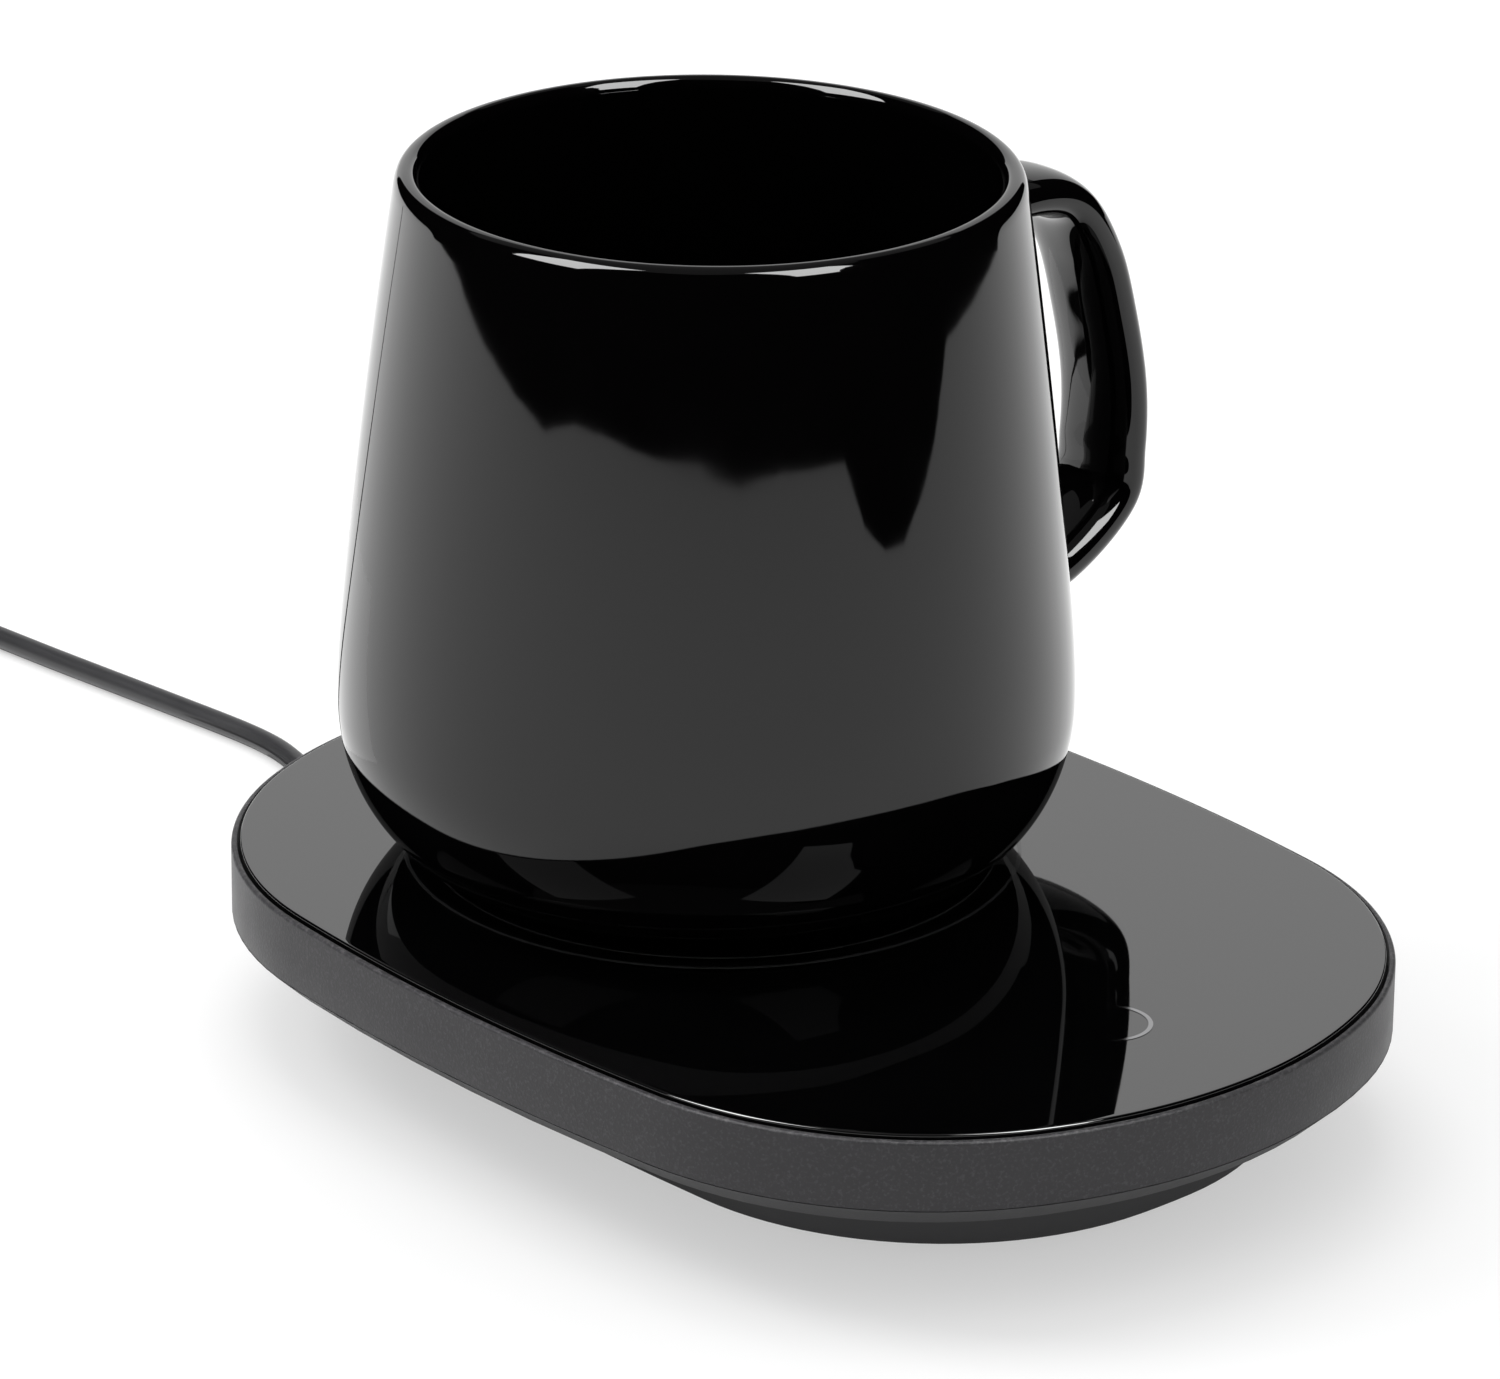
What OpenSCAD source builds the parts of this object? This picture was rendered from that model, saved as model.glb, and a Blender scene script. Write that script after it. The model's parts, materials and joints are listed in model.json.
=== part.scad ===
// Electric mug warmer with its mug.
// Frame: origin on the surface it stands on, below the middle of the stand; +Y runs along the stand
// towards the cord, the touch control is at the -Y end, +Z is up.

/* [Stand] */
// Length of the stand
stand_l = 165.1; // [155:0.1:175]
// Width of the stand
stand_w = 120.65; // [114:0.05:126]
// Height of the stand, feet and glass included
stand_h = 25.4; // [24:0.1:32]
// Radius of the long sides
side_r = 320; // [300:5:360]
// Radius of the two ends
end_r = 70; // [66:1:74]
// Radius of the corners that join sides and ends
corner_r = 51; // [46:1:55]

/* [Top shell] */
// Height of the upright band
band_h = 9.5; // [9:0.1:10.5]
// Wall of the band
shell_wall = 2.4; // [2:0.1:3]
// Width of the lip round the glass
lip_w = 0.8; // [0.6:0.1:1.2]
// Rounding of the band's top edge
lip_round = 0.5; // [0.3:0.05:0.6]
// Thickness of the deck under the glass
deck_t = 2; // [1.6:0.1:2.4]

/* [Glass] */
// Thickness of the glass
glass_t = 3; // [2.6:0.1:3.4]
// Height of the glass above the lip
glass_proud = 0.5; // [0.3:0.1:1]
// Gap between lip and glass
glass_gap = 0.4; // [0.3:0.05:0.6]
// Rounding of the glass's top edge
glass_round = 0.7; // [0.4:0.05:1]
// Thickness of the gasket
gasket_t = 0.4; // [0.3:0.1:0.8]
// Width of the gasket
gasket_w = 4; // [3:0.5:6]
// Thickness of the print
print_t = 0.06; // [0.04:0.01:0.1]

/* [Warm zone] */
// Distance of the zone's centre behind the middle of the stand
zone_y = 18.5; // [17:0.5:21]
// Radius of the outer ring's line
zone_ring_r = 41; // [38:0.5:43]
// Radius of the inner ring's line
zone_inner_r = 37.8; // [34:0.1:38.5]
// Width of the outer ring's line
zone_line = 0.5; // [0.3:0.1:0.8]
// Width of the inner ring's line
zone_inner_line = 0.3; // [0.2:0.1:0.6]
// Radius of the heater plate
heater_r = 41; // [38:0.5:42]
// Thickness of the heater plate
plate_t = 1.5; // [1:0.1:2]
// Thickness of the film element
film_t = 0.3; // [0.2:0.05:0.5]
// Thickness of the insulation pad
pad_t = 2.6; // [2.6:0.1:2.8]
// Thickness of the bracket's sheet
bracket_t = 1; // [0.8:0.1:1.1]

/* [Touch control] */
// Distance of the touch control from the plinth's end
touch_in = 11.2; // [10.4:0.1:14]
// Radius of the printed ring
touch_ring_r = 5.3; // [4.5:0.1:7]
// Width of the ring's line
touch_line = 0.6; // [0.4:0.1:1]
// Radius of the electrode
electrode_r = 6; // [5:0.1:7]
// Turns of the spring
spring_turns = 6; // [5:1:8]
// Wire diameter of the spring
spring_wire = 0.7; // [0.5:0.1:0.8]

/* [Bottom case] */
// Length of the plinth
plinth_l = 138; // [136:0.5:142]
// Width of the plinth
plinth_w = 89; // [88:0.5:92]
// Radius of the plinth's long sides
plinth_side_r = 600; // [500:20:800]
// Radius of the plinth's ends
plinth_end_r = 110; // [105:1:120]
// Radius of the plinth's corners
plinth_corner_r = 41; // [40:1:43]
// Height of the bevel below the band
bevel_h = 2.8; // [2.4:0.1:3.2]
// Width of the bevel
bevel_in = 3; // [2.5:0.1:3.5]
// Wall of the plinth
case_wall = 2.4; // [2:0.1:2.8]
// Thickness of the floor
case_floor = 2.2; // [2:0.1:2.6]
// Height of the rib that centres the top shell
rib_h = 1.8; // [1.2:0.1:2.2]
// Width of that rib
rib_w = 1.6; // [1.2:0.1:2]

/* [Feet] */
// Height of the feet
foot_h = 4; // [3:0.1:4.5]
// Diameter of the feet
foot_d = 12; // [10:0.5:14]
// Depth of the recess that holds a foot
foot_recess = 1; // [0.6:0.1:1.2]
// Distance of the feet from the middle, across the stand
foot_x = 23; // [20:0.5:27]
// Distance of the feet from the plinth's end
foot_in = 28; // [23:0.5:31]

/* [Control board] */
// Length of the board
board_l = 36; // [34:0.5:38]
// Width of the board
board_w = 40; // [38:0.5:44]
// Thickness of the board
board_t = 1.6; // [1.2:0.1:2]
// Height of the posts under the board
post_h = 3.8; // [3.2:0.1:4.2]
// Diameter of the posts and of the shell's bosses
post_d = 6; // [5.6:0.1:6.4]

/* [Cord] */
// Diameter of the cord
cord_d = 3.2; // [3:0.1:3.6]
// Length of the strain relief outside the case
relief_l = 14; // [12:0.5:16]
// Diameter of the strain relief at the case
relief_d = 5.2; // [4.8:0.1:5.6]
// Length from the strain relief to the plug
cord_l = 889; // [800:1:1000]

/* [USB plug] */
// Length of the plug's overmould
overmould_l = 22; // [20:0.5:26]
// Width of the overmould
overmould_w = 15.6; // [14:0.1:16]
// Height of the overmould
overmould_h = 7.8; // [7:0.1:8]
// Length of the metal shell
usb_l = 13; // [12:0.5:16]

/* [Mug] */
// Height of the mug
mug_h = 94.4; // [85:0.1:110]
// Diameter at the belly
belly_d = 97.8; // [90:0.2:100]
// Diameter at the rim
rim_d = 82.1; // [76:0.1:86]
// Height of the belly
belly_z = 26.5; // [24:0.5:29]
// Wall at the belly
mug_wall = 3; // [2.6:0.1:3.6]
// Wall at the rim
rim_t = 2.4; // [2:0.1:3]
// Radius of the foot ring
mug_foot_r = 35; // [32:0.5:36]
// Width of the handle
handle_w = 14.9; // [12:0.1:17]
// Depth of the handle where it leaves the wall
handle_t = 6.4; // [5.5:0.1:8]
// Distance of the mug's axis behind the zone's centre
mug_back = 1.5; // [0:0.5:3]

/* [Hidden] */
$fn = 64;
outline_fn = 240;
side_facets = 6;
corner_facets = 16;
end_facets = 12;
eps = 1;

// Clearances
seat_gap = 0.3;     // between a piece and the wall that it drops into
screw_gap = 0.05;   // between a screw and its boss
free_gap = 0.3;     // between a screw and a hole that it passes freely
mug_gap = 0.1;      // between the mug's foot and the glass

// Heights, from the bottom up
z_floor = foot_h + case_floor;
z_lip = stand_h - glass_proud;
z_seam = z_lip - band_h;
z_under = z_seam - bevel_h;
z_glass = stand_h - glass_t;
z_deck = z_glass - gasket_t;
z_deck_low = z_deck - deck_t;
z_plate = z_glass - plate_t;
z_film = z_plate - film_t;
z_pad = z_film - pad_t;
z_bracket = z_pad - bracket_t;
z_board = z_floor + post_h;
z_board_top = z_board + board_t;
z_relief = (z_floor + z_under) / 2;
z_mug = stand_h + mug_gap;

// Places along the stand
touch_y = plinth_l / 2 - touch_in;
foot_y = plinth_l / 2 - foot_in;

// An oval of tangent arcs: [x, y, radius, first angle, last angle] for the right side, the corner
// beside it and the end; the other quarters are mirror images.
function oval(l, w, rs, re, rc) =
  let (
    sx = w / 2 - rs,
    ey = l / 2 - re,
    span = norm([sx, ey]),
    along = ((rs - rc) * (rs - rc) - (re - rc) * (re - rc) + span * span) / (2 * span),
    off = sqrt((rs - rc) * (rs - rc) - along * along),
    cx = sx - (along * sx + off * ey) / span,
    cy = (along * ey - off * sx) / span,
    a1 = atan2(cy, cx - sx),
    a2 = atan2(cy - ey, cx)
  )
  [[sx, 0, rs, -a1, a1], [cx, cy, rc, a1, a2], [0, ey, re, a2, 180 - a2]];

stand_oval = oval(stand_l, stand_w, side_r, end_r, corner_r);
plinth_oval = oval(plinth_l, plinth_w, plinth_side_r, plinth_end_r, plinth_corner_r);

function arc_end(a, d) = [a[0] + (a[2] - d) * cos(a[4]), a[1] + (a[2] - d) * sin(a[4])];

// The oval as an area, its edge moved inwards by d
module area(o, d = 0) {
  side = o[0];
  corner = o[1];
  end = o[2];
  p = arc_end(side, d);
  q = arc_end(corner, d);
  polygon([[p.x, -p.y], p, q, [-q.x, q.y], [-p.x, p.y], [-p.x, -p.y], [-q.x, -q.y], [q.x, -q.y]]);
  for (s = [1, -1]) {
    intersection() {
      translate([s * side[0], 0]) circle(r = side[2] - d, $fn = 2 * outline_fn);
      translate([s > 0 ? 0 : -stand_w, -p.y]) square([stand_w, 2 * p.y]);
    }
    intersection() {
      translate([0, s * end[1]]) circle(r = end[2] - d, $fn = outline_fn);
      translate([-q.x, s > 0 ? 0 : -stand_l]) square([2 * q.x, stand_l]);
    }
    for (t = [1, -1])
      translate([s * corner[0], t * corner[1]]) circle(r = corner[2] - d, $fn = outline_fn);
  }
}

// Points along one arc, both ends included
function arc_points(a, d, n) =
  [
    for (i = [0:n])
      let (t = a[3] + (a[4] - a[3]) * i / n)
      [a[0] + (a[2] - d) * cos(t), a[1] + (a[2] - d) * sin(t)]
  ];

// The oval's outline at height z, its edge moved inwards by d, anticlockwise
function ring(o, d, z) =
  let (
    side = arc_points(o[0], d, side_facets),
    corner = arc_points(o[1], d, corner_facets),
    end = arc_points(o[2], d, end_facets),
    half = concat(
      side,
      [for (i = [1:corner_facets - 1]) corner[i]],
      end,
      [for (i = [corner_facets - 1:-1:1]) [-corner[i].x, corner[i].y]]
    )
  )
  [for (s = [1, -1], q = half) [s * q.x, s * q.y, z]];

// A plate with the oval's outline
module slab(o, d, z, h) {
  translate([0, 0, z]) linear_extrude(h) area(o, d);
}

// A quarter circle of radius r that turns from the edge (x = 0) to the top (y = r)
function quarter(r, at, n = 6) = [for (i = [0:n]) at + r * [1 - cos(90 * i / n), sin(90 * i / n) - 1]];

function blend(a, b, t) = a + (b - a) * t;

// A smooth path through all points, n steps between each two
function smooth(p, n) =
  let (last = len(p) - 1)
  concat(
    [
      for (i = [0:last - 1], k = [0:n - 1])
        let (
          t = k / n,
          a = i == 0 ? 2 * p[0] - p[1] : p[i - 1],
          d = i == last - 1 ? 2 * p[last] - p[last - 1] : p[i + 2],
          b = p[i],
          c = p[i + 1]
        )
        0.5 * (2 * b + (c - a) * t + (2 * a - 5 * b + 4 * c - d) * t * t
          + (3 * b - a - 3 * c + d) * t * t * t)
    ],
    [p[last]]
  );

function unit(v) = v / norm(v);

function path_length(p) = len(p) < 2 ? 0 : norm(p[1] - p[0]) + path_length([for (i = [1:len(p) - 1]) p[i]]);

function heading(p, i) = unit(p[min(i + 1, len(p) - 1)] - p[max(i - 1, 0)]);

// A closed skin over rings of equally many points
module skin(rings) {
  n = len(rings[0]);
  m = len(rings);
  polyhedron(
    points = [for (ring = rings) each ring],
    faces = concat(
      [[for (k = [0:n - 1]) k]],
      [
        for (i = [0:m - 2], k = [0:n - 1])
          let (j = (k + 1) % n)
          each [
            [i * n + k, (i + 1) * n + j, i * n + j],
            [i * n + k, (i + 1) * n + k, (i + 1) * n + j]
          ]
      ],
      [[for (k = [n - 1:-1:0]) (m - 1) * n + k]]
    )
  );
}

// A round wire of diameter d along path p; ref is a direction that the path never runs in
module wire(p, d, sides = 8, ref = [0, 0, 1]) {
  skin([
    for (i = [0:len(p) - 1])
      let (
        t = heading(p, i),
        u = unit(cross(t, ref)),
        v = cross(u, t)
      )
      [for (k = [0:sides - 1]) p[i] + d / 2 * (u * cos(360 * k / sides) - v * sin(360 * k / sides))]
  ]);
}

// A turned solid whose axis runs along +Y from point p; its profile is [distance, radius] pairs
module turned_y(p, profile) {
  translate(p)
    rotate([-90, 0, 0])
      rotate_extrude()
        polygon(concat(
          [[0, profile[0][0]]],
          [for (q = profile) [q[1], q[0]]],
          [[0, profile[len(profile) - 1][0]]]
        ));
}

// A pan-head screw that points up, with the seat of its head at height 0
module screw(shank_r, length, head_r, head_h) {
  cylinder(r = shank_r, h = length);
  translate([0, 0, -head_h])
    difference() {
      cylinder(r = head_r, h = head_h);
      translate([0, 0, -eps])
        for (turn = [0, 90])
          rotate(turn)
            translate([-head_r * 0.6, -screw_slot / 2, 0])
              cube([head_r * 1.2, screw_slot, eps + head_h / 2]);
    }
}

// Screws and bosses
screw_slot = 0.6;
case_screw_r = 1.2;
case_head_r = 2.4;
case_head_h = 1.4;
board_screw_r = 1;
board_head_r = 1.9;
board_head_h = 1.3;
boss_r = post_d / 2;
boss_skin = 0.6;        // left between a blind hole and the face above it
screw_end = 0.5;        // left between a screw's tip and the end of its hole

// Height along the stand of an oval's end arc at x
function end_y(o, x, d) = o[2][1] + sqrt(pow(o[2][2] - d, 2) - x * x);

// The case screws stand midway between the plinth and the rib
rib_in = shell_wall + seat_gap;
side_screw_x = (stand_w / 2 - rib_in - rib_w + plinth_w / 2) / 2;
side_screw_y = 32;
front_screw_y = (stand_l / 2 - rib_in - rib_w + plinth_l / 2) / 2;
back_screw_x = 24;
back_screw_y = (end_y(stand_oval, back_screw_x, rib_in + rib_w) + end_y(plinth_oval, back_screw_x, 0)) / 2;
case_screw_spots = [
  [side_screw_x, side_screw_y], [-side_screw_x, side_screw_y],
  [side_screw_x, -side_screw_y], [-side_screw_x, -side_screw_y],
  [0, -front_screw_y], [back_screw_x, back_screw_y], [-back_screw_x, back_screw_y]
];

ear_ring_r = heater_r + 6.5;
bracket_screw_spots = [for (a = [90, 210, 330]) [ear_ring_r * cos(a), zone_y + ear_ring_r * sin(a)]];

board_lead = 5.2;       // of the board's front edge before the touch control
board_y = board_l / 2 - touch_y - board_lead;
post_x = board_w * 0.375;
post_back_y = board_y + board_l * 0.333;
post_front_y = board_y - board_l * 0.306;
post_spots = [for (x = [-post_x, post_x], y = [post_front_y, post_back_y]) [x, y]];

// Top shell
deck_hole_r = heater_r + 1;
touch_hole_r = electrode_r + 3;
head_seat = case_head_h;

module top_shell() {
  color([0.23, 0.22, 0.24])
    difference() {
      union() {
        difference() {
          skin(concat(
            [ring(stand_oval, 0, z_seam)],
            [for (q = quarter(lip_round, [0, z_lip], 4)) ring(stand_oval, q.x, q.y)]
          ));
          slab(stand_oval, shell_wall, z_seam - eps, z_deck_low - z_seam + eps);
          slab(stand_oval, lip_w, z_deck, stand_h);
          translate([0, zone_y, z_deck_low - eps]) cylinder(r = deck_hole_r, h = deck_t + 2 * eps, $fn = 128);
          translate([0, -touch_y, z_deck_low - eps]) cylinder(r = touch_hole_r, h = deck_t + 2 * eps);
        }
        for (p = case_screw_spots)
          translate([p.x, p.y, z_seam]) cylinder(r = boss_r, h = z_deck_low - z_seam + deck_t / 2);
        for (p = bracket_screw_spots)
          translate([p.x, p.y, z_pad]) cylinder(r = boss_r, h = z_deck_low - z_pad + deck_t / 2);
      }
      for (p = case_screw_spots)
        translate([p.x, p.y, z_seam - eps])
          cylinder(r = case_screw_r + screw_gap, h = z_deck - boss_skin - z_seam + eps, $fn = 32);
      for (p = bracket_screw_spots)
        translate([p.x, p.y, z_pad - eps])
          cylinder(r = case_screw_r + screw_gap, h = z_deck - boss_skin - z_pad + eps, $fn = 32);
    }
}

// Glass and its marks
glass_in = lip_w + glass_gap;

module glass_top() {
  color([0.06, 0.06, 0.07])
    skin(concat(
      [ring(stand_oval, glass_in, z_glass)],
      [for (q = quarter(glass_round, [glass_in, stand_h], 5)) ring(stand_oval, q.x, q.y)]
    ));
}

module glass_gasket() {
  outer = glass_in + seat_gap;
  inner = outer + gasket_w;
  color([0.1, 0.1, 0.1])
    difference() {
      skin([ring(stand_oval, outer, z_deck), ring(stand_oval, outer, z_glass)]);
      skin([ring(stand_oval, inner, z_deck - eps), ring(stand_oval, inner, z_glass + eps)]);
    }
}

module printed_ring(r, line) {
  difference() {
    cylinder(r = r + line / 2, h = print_t, $fn = 128);
    translate([0, 0, -eps]) cylinder(r = r - line / 2, h = print_t + 2 * eps, $fn = 128);
  }
}

module zone_print() {
  color([0.45, 0.45, 0.46])
    translate([0, zone_y, stand_h]) {
      printed_ring(zone_ring_r, zone_line);
      printed_ring(zone_inner_r, zone_inner_line);
    }
}

module touch_print() {
  color([0.62, 0.62, 0.63])
    translate([0, -touch_y, stand_h]) printed_ring(touch_ring_r, touch_line);
}

// Heater
film_r = heater_r - 3;
pad_r = heater_r - 0.8;
dish_r = heater_r + 1.4;
dish_wall = bracket_t;
dish_rim = 1.4;
ear_r = boss_r + 0.8;
wire_d = 1.2;
sensor_wire_d = 0.8;
z_wire = z_pad + pad_t / 2;

// Places on the heater, measured from its centre
slot_w = 3.2;
fuse_y = 14;
fuse_x = 1;
fuse_l = 9;
fuse_d = pad_t - 0.1;
fuse_leg_d = 0.8;
fuse_leg_l = 3;
lead_x = 7.5;
bead_x = -8;
bead_y = -12;
bead_r = 1;
way_y = -29;            // the way through pad and bracket for all leads
way_w = 20;
way_l = 8;
film_lead_x = 0.5;

module heater_plate() {
  color([0.72, 0.73, 0.74])
    translate([0, zone_y, z_plate]) cylinder(r = heater_r, h = plate_t, $fn = 128);
}

module heater_film() {
  color([0.75, 0.45, 0.12])
    translate([0, zone_y, z_film]) cylinder(r = film_r, h = film_t, $fn = 128);
}

module lead_way(h) {
  translate([-way_w / 2 + way_l / 2, way_y - way_l / 2, 0]) cube([way_w - way_l, way_l, h]);
  for (s = [-1, 1])
    translate([s * (way_w - way_l) / 2, way_y, 0]) cylinder(d = way_l, h = h, $fn = 32);
}

module insulation_pad() {
  color([0.85, 0.83, 0.76])
    translate([0, zone_y, z_pad])
      difference() {
        cylinder(r = pad_r, h = pad_t, $fn = 128);
        translate([0, 0, -eps]) {
          lead_way(pad_t + 2 * eps);
          translate([fuse_x - fuse_l / 2 - fuse_leg_l - 1, fuse_y - slot_w / 2, 0])
            cube([lead_x + slot_w / 2 - fuse_x + fuse_l / 2 + fuse_leg_l + 1, slot_w, pad_t + 2 * eps]);
          translate([lead_x - slot_w / 2, way_y, 0])
            cube([slot_w, fuse_y - way_y, pad_t + 2 * eps]);
          translate([bead_x - slot_w / 2, way_y, 0])
            cube([slot_w, bead_y - way_y, pad_t + 2 * eps]);
          translate([bead_x, bead_y, 0]) cylinder(d = slot_w, h = pad_t + 2 * eps, $fn = 32);
        }
      }
}

module heater_bracket() {
  color([0.6, 0.61, 0.62])
    difference() {
      union() {
        translate([0, zone_y, z_bracket])
          difference() {
            cylinder(r = dish_r, h = bracket_t + dish_rim, $fn = 128);
            translate([0, 0, bracket_t]) cylinder(r = dish_r - dish_wall, h = dish_rim + eps, $fn = 128);
          }
        for (p = bracket_screw_spots)
          translate([p.x, p.y, z_bracket]) {
            cylinder(r = ear_r, h = bracket_t);
            rotate(atan2(p.y - zone_y, p.x))
              translate([dish_r - dish_wall - ear_ring_r + 0.4, -ear_r, 0])
                cube([ear_ring_r - dish_r + dish_wall - 0.4, 2 * ear_r, bracket_t]);
          }
      }
      translate([0, zone_y, z_bracket - eps]) lead_way(bracket_t + 2 * eps);
      for (p = bracket_screw_spots)
        translate([p.x, p.y, z_bracket - eps])
          cylinder(r = case_screw_r + free_gap, h = bracket_t + 2 * eps, $fn = 32);
    }
}

module bracket_screws() {
  color([0.7, 0.7, 0.7])
    for (p = bracket_screw_spots)
      translate([p.x, p.y, z_bracket])
        screw(case_screw_r, z_deck - boss_skin - screw_end - z_bracket, case_head_r, board_head_h);
}

module thermal_fuse() {
  color([0.8, 0.79, 0.75])
    translate([fuse_x - fuse_l / 2, zone_y + fuse_y, z_wire])
      rotate([0, 90, 0]) {
        cylinder(d = fuse_d, h = fuse_l, $fn = 32);
        translate([0, 0, -fuse_leg_l])
          cylinder(d = fuse_leg_d, h = fuse_leg_l + lead_x - wire_d / 2 - fuse_x + fuse_l / 2, $fn = 16);
        translate([-(z_film - z_wire), 0, -fuse_leg_l])
          rotate([0, 90, 0]) cylinder(d = fuse_leg_d, h = z_film - z_wire, $fn = 16);
      }
}

module thermistor() {
  color([0.15, 0.14, 0.13])
    translate([bead_x, zone_y + bead_y, z_wire]) sphere(r = bead_r, $fn = 32);
}

// Control board
board_gap = 1.2;        // between the board and the plinth's wall
socket_h = 5;
heater_socket_x = -1;
heater_socket_w = 18;
heater_socket_l = 5.5;
cord_socket_w = 6;
cord_socket_l = 8;
cord_socket_x = -post_x - 1;
cord_socket_y = (post_front_y + post_back_y) / 2;
socket_face_y = board_y + board_l / 2 - 1;
z_socket = z_board_top + socket_h / 2;

module control_board() {
  color([0.06, 0.3, 0.16])
    difference() {
      translate([0, 0, z_board])
        linear_extrude(board_t)
          intersection() {
            area(plinth_oval, case_wall + board_gap);
            translate([-board_w / 2, board_y - board_l / 2]) square([board_w, board_l]);
          }
      for (p = post_spots)
        translate([p.x, p.y, z_board - eps])
          cylinder(r = board_screw_r + free_gap / 3, h = board_t + 2 * eps, $fn = 32);
    }
}

// A block that stands on the board, w by l by h, centred at x, y
module on_board(x, y, w, l, h) {
  translate([x - w / 2, y - l / 2, z_board_top]) cube([w, l, h]);
}

module heater_socket() {
  color([0.93, 0.92, 0.88])
    on_board(
      heater_socket_x, socket_face_y - heater_socket_l / 2, heater_socket_w, heater_socket_l, socket_h
    );
}

module cord_socket() {
  color([0.93, 0.92, 0.88])
    on_board(cord_socket_x, cord_socket_y, cord_socket_w, cord_socket_l, socket_h);
}

module control_chip() {
  color([0.08, 0.08, 0.08]) on_board(4.5, board_y - 1, 7, 7, 1.2);
}

module switch_transistor() {
  color([0.12, 0.12, 0.12]) on_board(-5, board_y + 4, 6.6, 6, 2.3);
}

module capacitor() {
  color([0.15, 0.2, 0.4])
    translate([post_x - 1, cord_socket_y, z_board_top]) cylinder(d = 6.3, h = 6.5, $fn = 32);
}

module status_led() {
  color([0.95, 0.94, 0.85]) on_board(0, -touch_y, 2, 1.2, 0.8);
}

module touch_electrode() {
  color([0.8, 0.7, 0.3])
    translate([0, -touch_y, z_glass - electrode_t])
      difference() {
        cylinder(r = electrode_r, h = electrode_t);
        translate([0, 0, -eps]) cylinder(r = electrode_hole_r, h = electrode_t + 2 * eps, $fn = 32);
      }
}

electrode_t = 0.3;
electrode_hole_r = 2;
spring_r = 4;
spring_steps = 14;      // rings in one turn

module touch_spring() {
  bottom = z_board_top + spring_wire / 2;
  top = z_glass - electrode_t - spring_wire / 2;
  n = spring_turns * spring_steps;
  color([0.78, 0.79, 0.8])
    translate([0, -touch_y, 0])
      wire(
        [
          for (i = [0:n])
            let (turn = 360 * i / spring_steps)
            [spring_r * cos(turn), spring_r * sin(turn), blend(bottom, top, i / n)]
        ],
        spring_wire, 6
      );
}

module board_screws() {
  color([0.7, 0.7, 0.7])
    for (p = post_spots)
      translate([p.x, p.y, z_board_top])
        mirror([0, 0, 1]) screw(board_screw_r, board_t + post_h * 0.66, board_head_r, board_head_h);
}

// Leads
stub = 1.5;             // straight end of a lead where it meets its seat
z_low = z_bracket - 2;  // of a lead that has passed the bracket
way_in_y = zone_y + way_y;
sensor_gap = 0.6;       // of a sensor lead from the pair's middle line

// The last stretch of a lead: from the way in the bracket to the socket's face
function to_socket(x0, x1) =
  let (near_y = socket_face_y + stub)
  [
    [x0, way_in_y, z_low], [blend(x0, x1, 0.5), blend(way_in_y, near_y, 0.34), z_socket + wire_d / 2],
    [x1, blend(way_in_y, near_y, 0.69), z_socket], [x1, near_y, z_socket], [x1, socket_face_y, z_socket]
  ];

// The stretch along a slot of the pad, from y at the slot's end down into the way
function from_slot(x, y) = [
  [x, y, z_wire], [x, way_in_y + way_l * 0.62, z_wire], [x, way_in_y + way_l * 0.16, z_pad]
];

module heater_leads() {
  color([0.75, 0.1, 0.08]) {
    wire(
      smooth(concat(
        [[film_lead_x, way_in_y, z_film], [film_lead_x, way_in_y, z_film - stub]],
        to_socket(film_lead_x, film_lead_x)
      ), 3),
      wire_d, 8, [1, 0, 0]
    );
    wire(
      smooth(concat(
        from_slot(lead_x, zone_y + fuse_y - 1),
        to_socket(lead_x, heater_socket_x + heater_socket_w * 0.36)
      ), 3),
      wire_d, 8, [1, 0, 0]
    );
  }
}

module sensor_leads() {
  color([0.1, 0.1, 0.1])
    for (s = [-1, 1])
      wire(
        smooth(concat(
          from_slot(bead_x + sensor_gap * s, zone_y + bead_y - bead_r),
          to_socket(bead_x + sensor_gap * s, heater_socket_x - heater_socket_w * 0.27 + 2 * sensor_gap * s)
        ), 3),
        sensor_wire_d, 6, [1, 0, 0]
      );
}

collar_t = 1.6;
relief_in_y = plinth_l / 2 - case_wall - seat_gap - collar_t;
core_d = 1.4;
core_rise = 0.8;        // of the upper core above the pair's middle line
core_z = z_floor + core_d / 2 + core_rise + 0.3;

// A point of the cores' way: shares of the plinth's half width, of the way along it and of the rise
// from the floor to the socket
function core_at(across, along, rise) = [
  -across * plinth_w / 2, blend(relief_in_y, cord_socket_y, along), blend(core_z, z_socket, rise)
];

module cord_leads() {
  color([0.7, 0.1, 0.1])
    for (s = [-1, 1])
      wire(
        [
          for (p = smooth([
            [0, relief_in_y, z_relief], [0, relief_in_y - stub, z_relief], core_at(0.067, 0.064, 0.13),
            core_at(0.315, 0.135, 0), core_at(0.607, 0.272, 0), core_at(0.674, 0.5, 0),
            core_at(0.674, 0.73, 0), core_at(0.663, 0.872, 0.25), core_at(0.607, 0.963, 0.8),
            core_at(0.528, 0.996, 1),
            [cord_socket_x - cord_socket_w / 2 - stub, cord_socket_y, z_socket],
            [cord_socket_x - cord_socket_w / 2, cord_socket_y, z_socket]
          ], 3))
            p + [0, 0, core_rise * s]
        ],
        core_d, 6
      );
}

// Bottom case
foot_spots = [for (x = [-foot_x, foot_x], y = [-foot_y, foot_y]) [x, y]];
post_skin = 0.8;        // left between a post's blind hole and the case's underside

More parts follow.
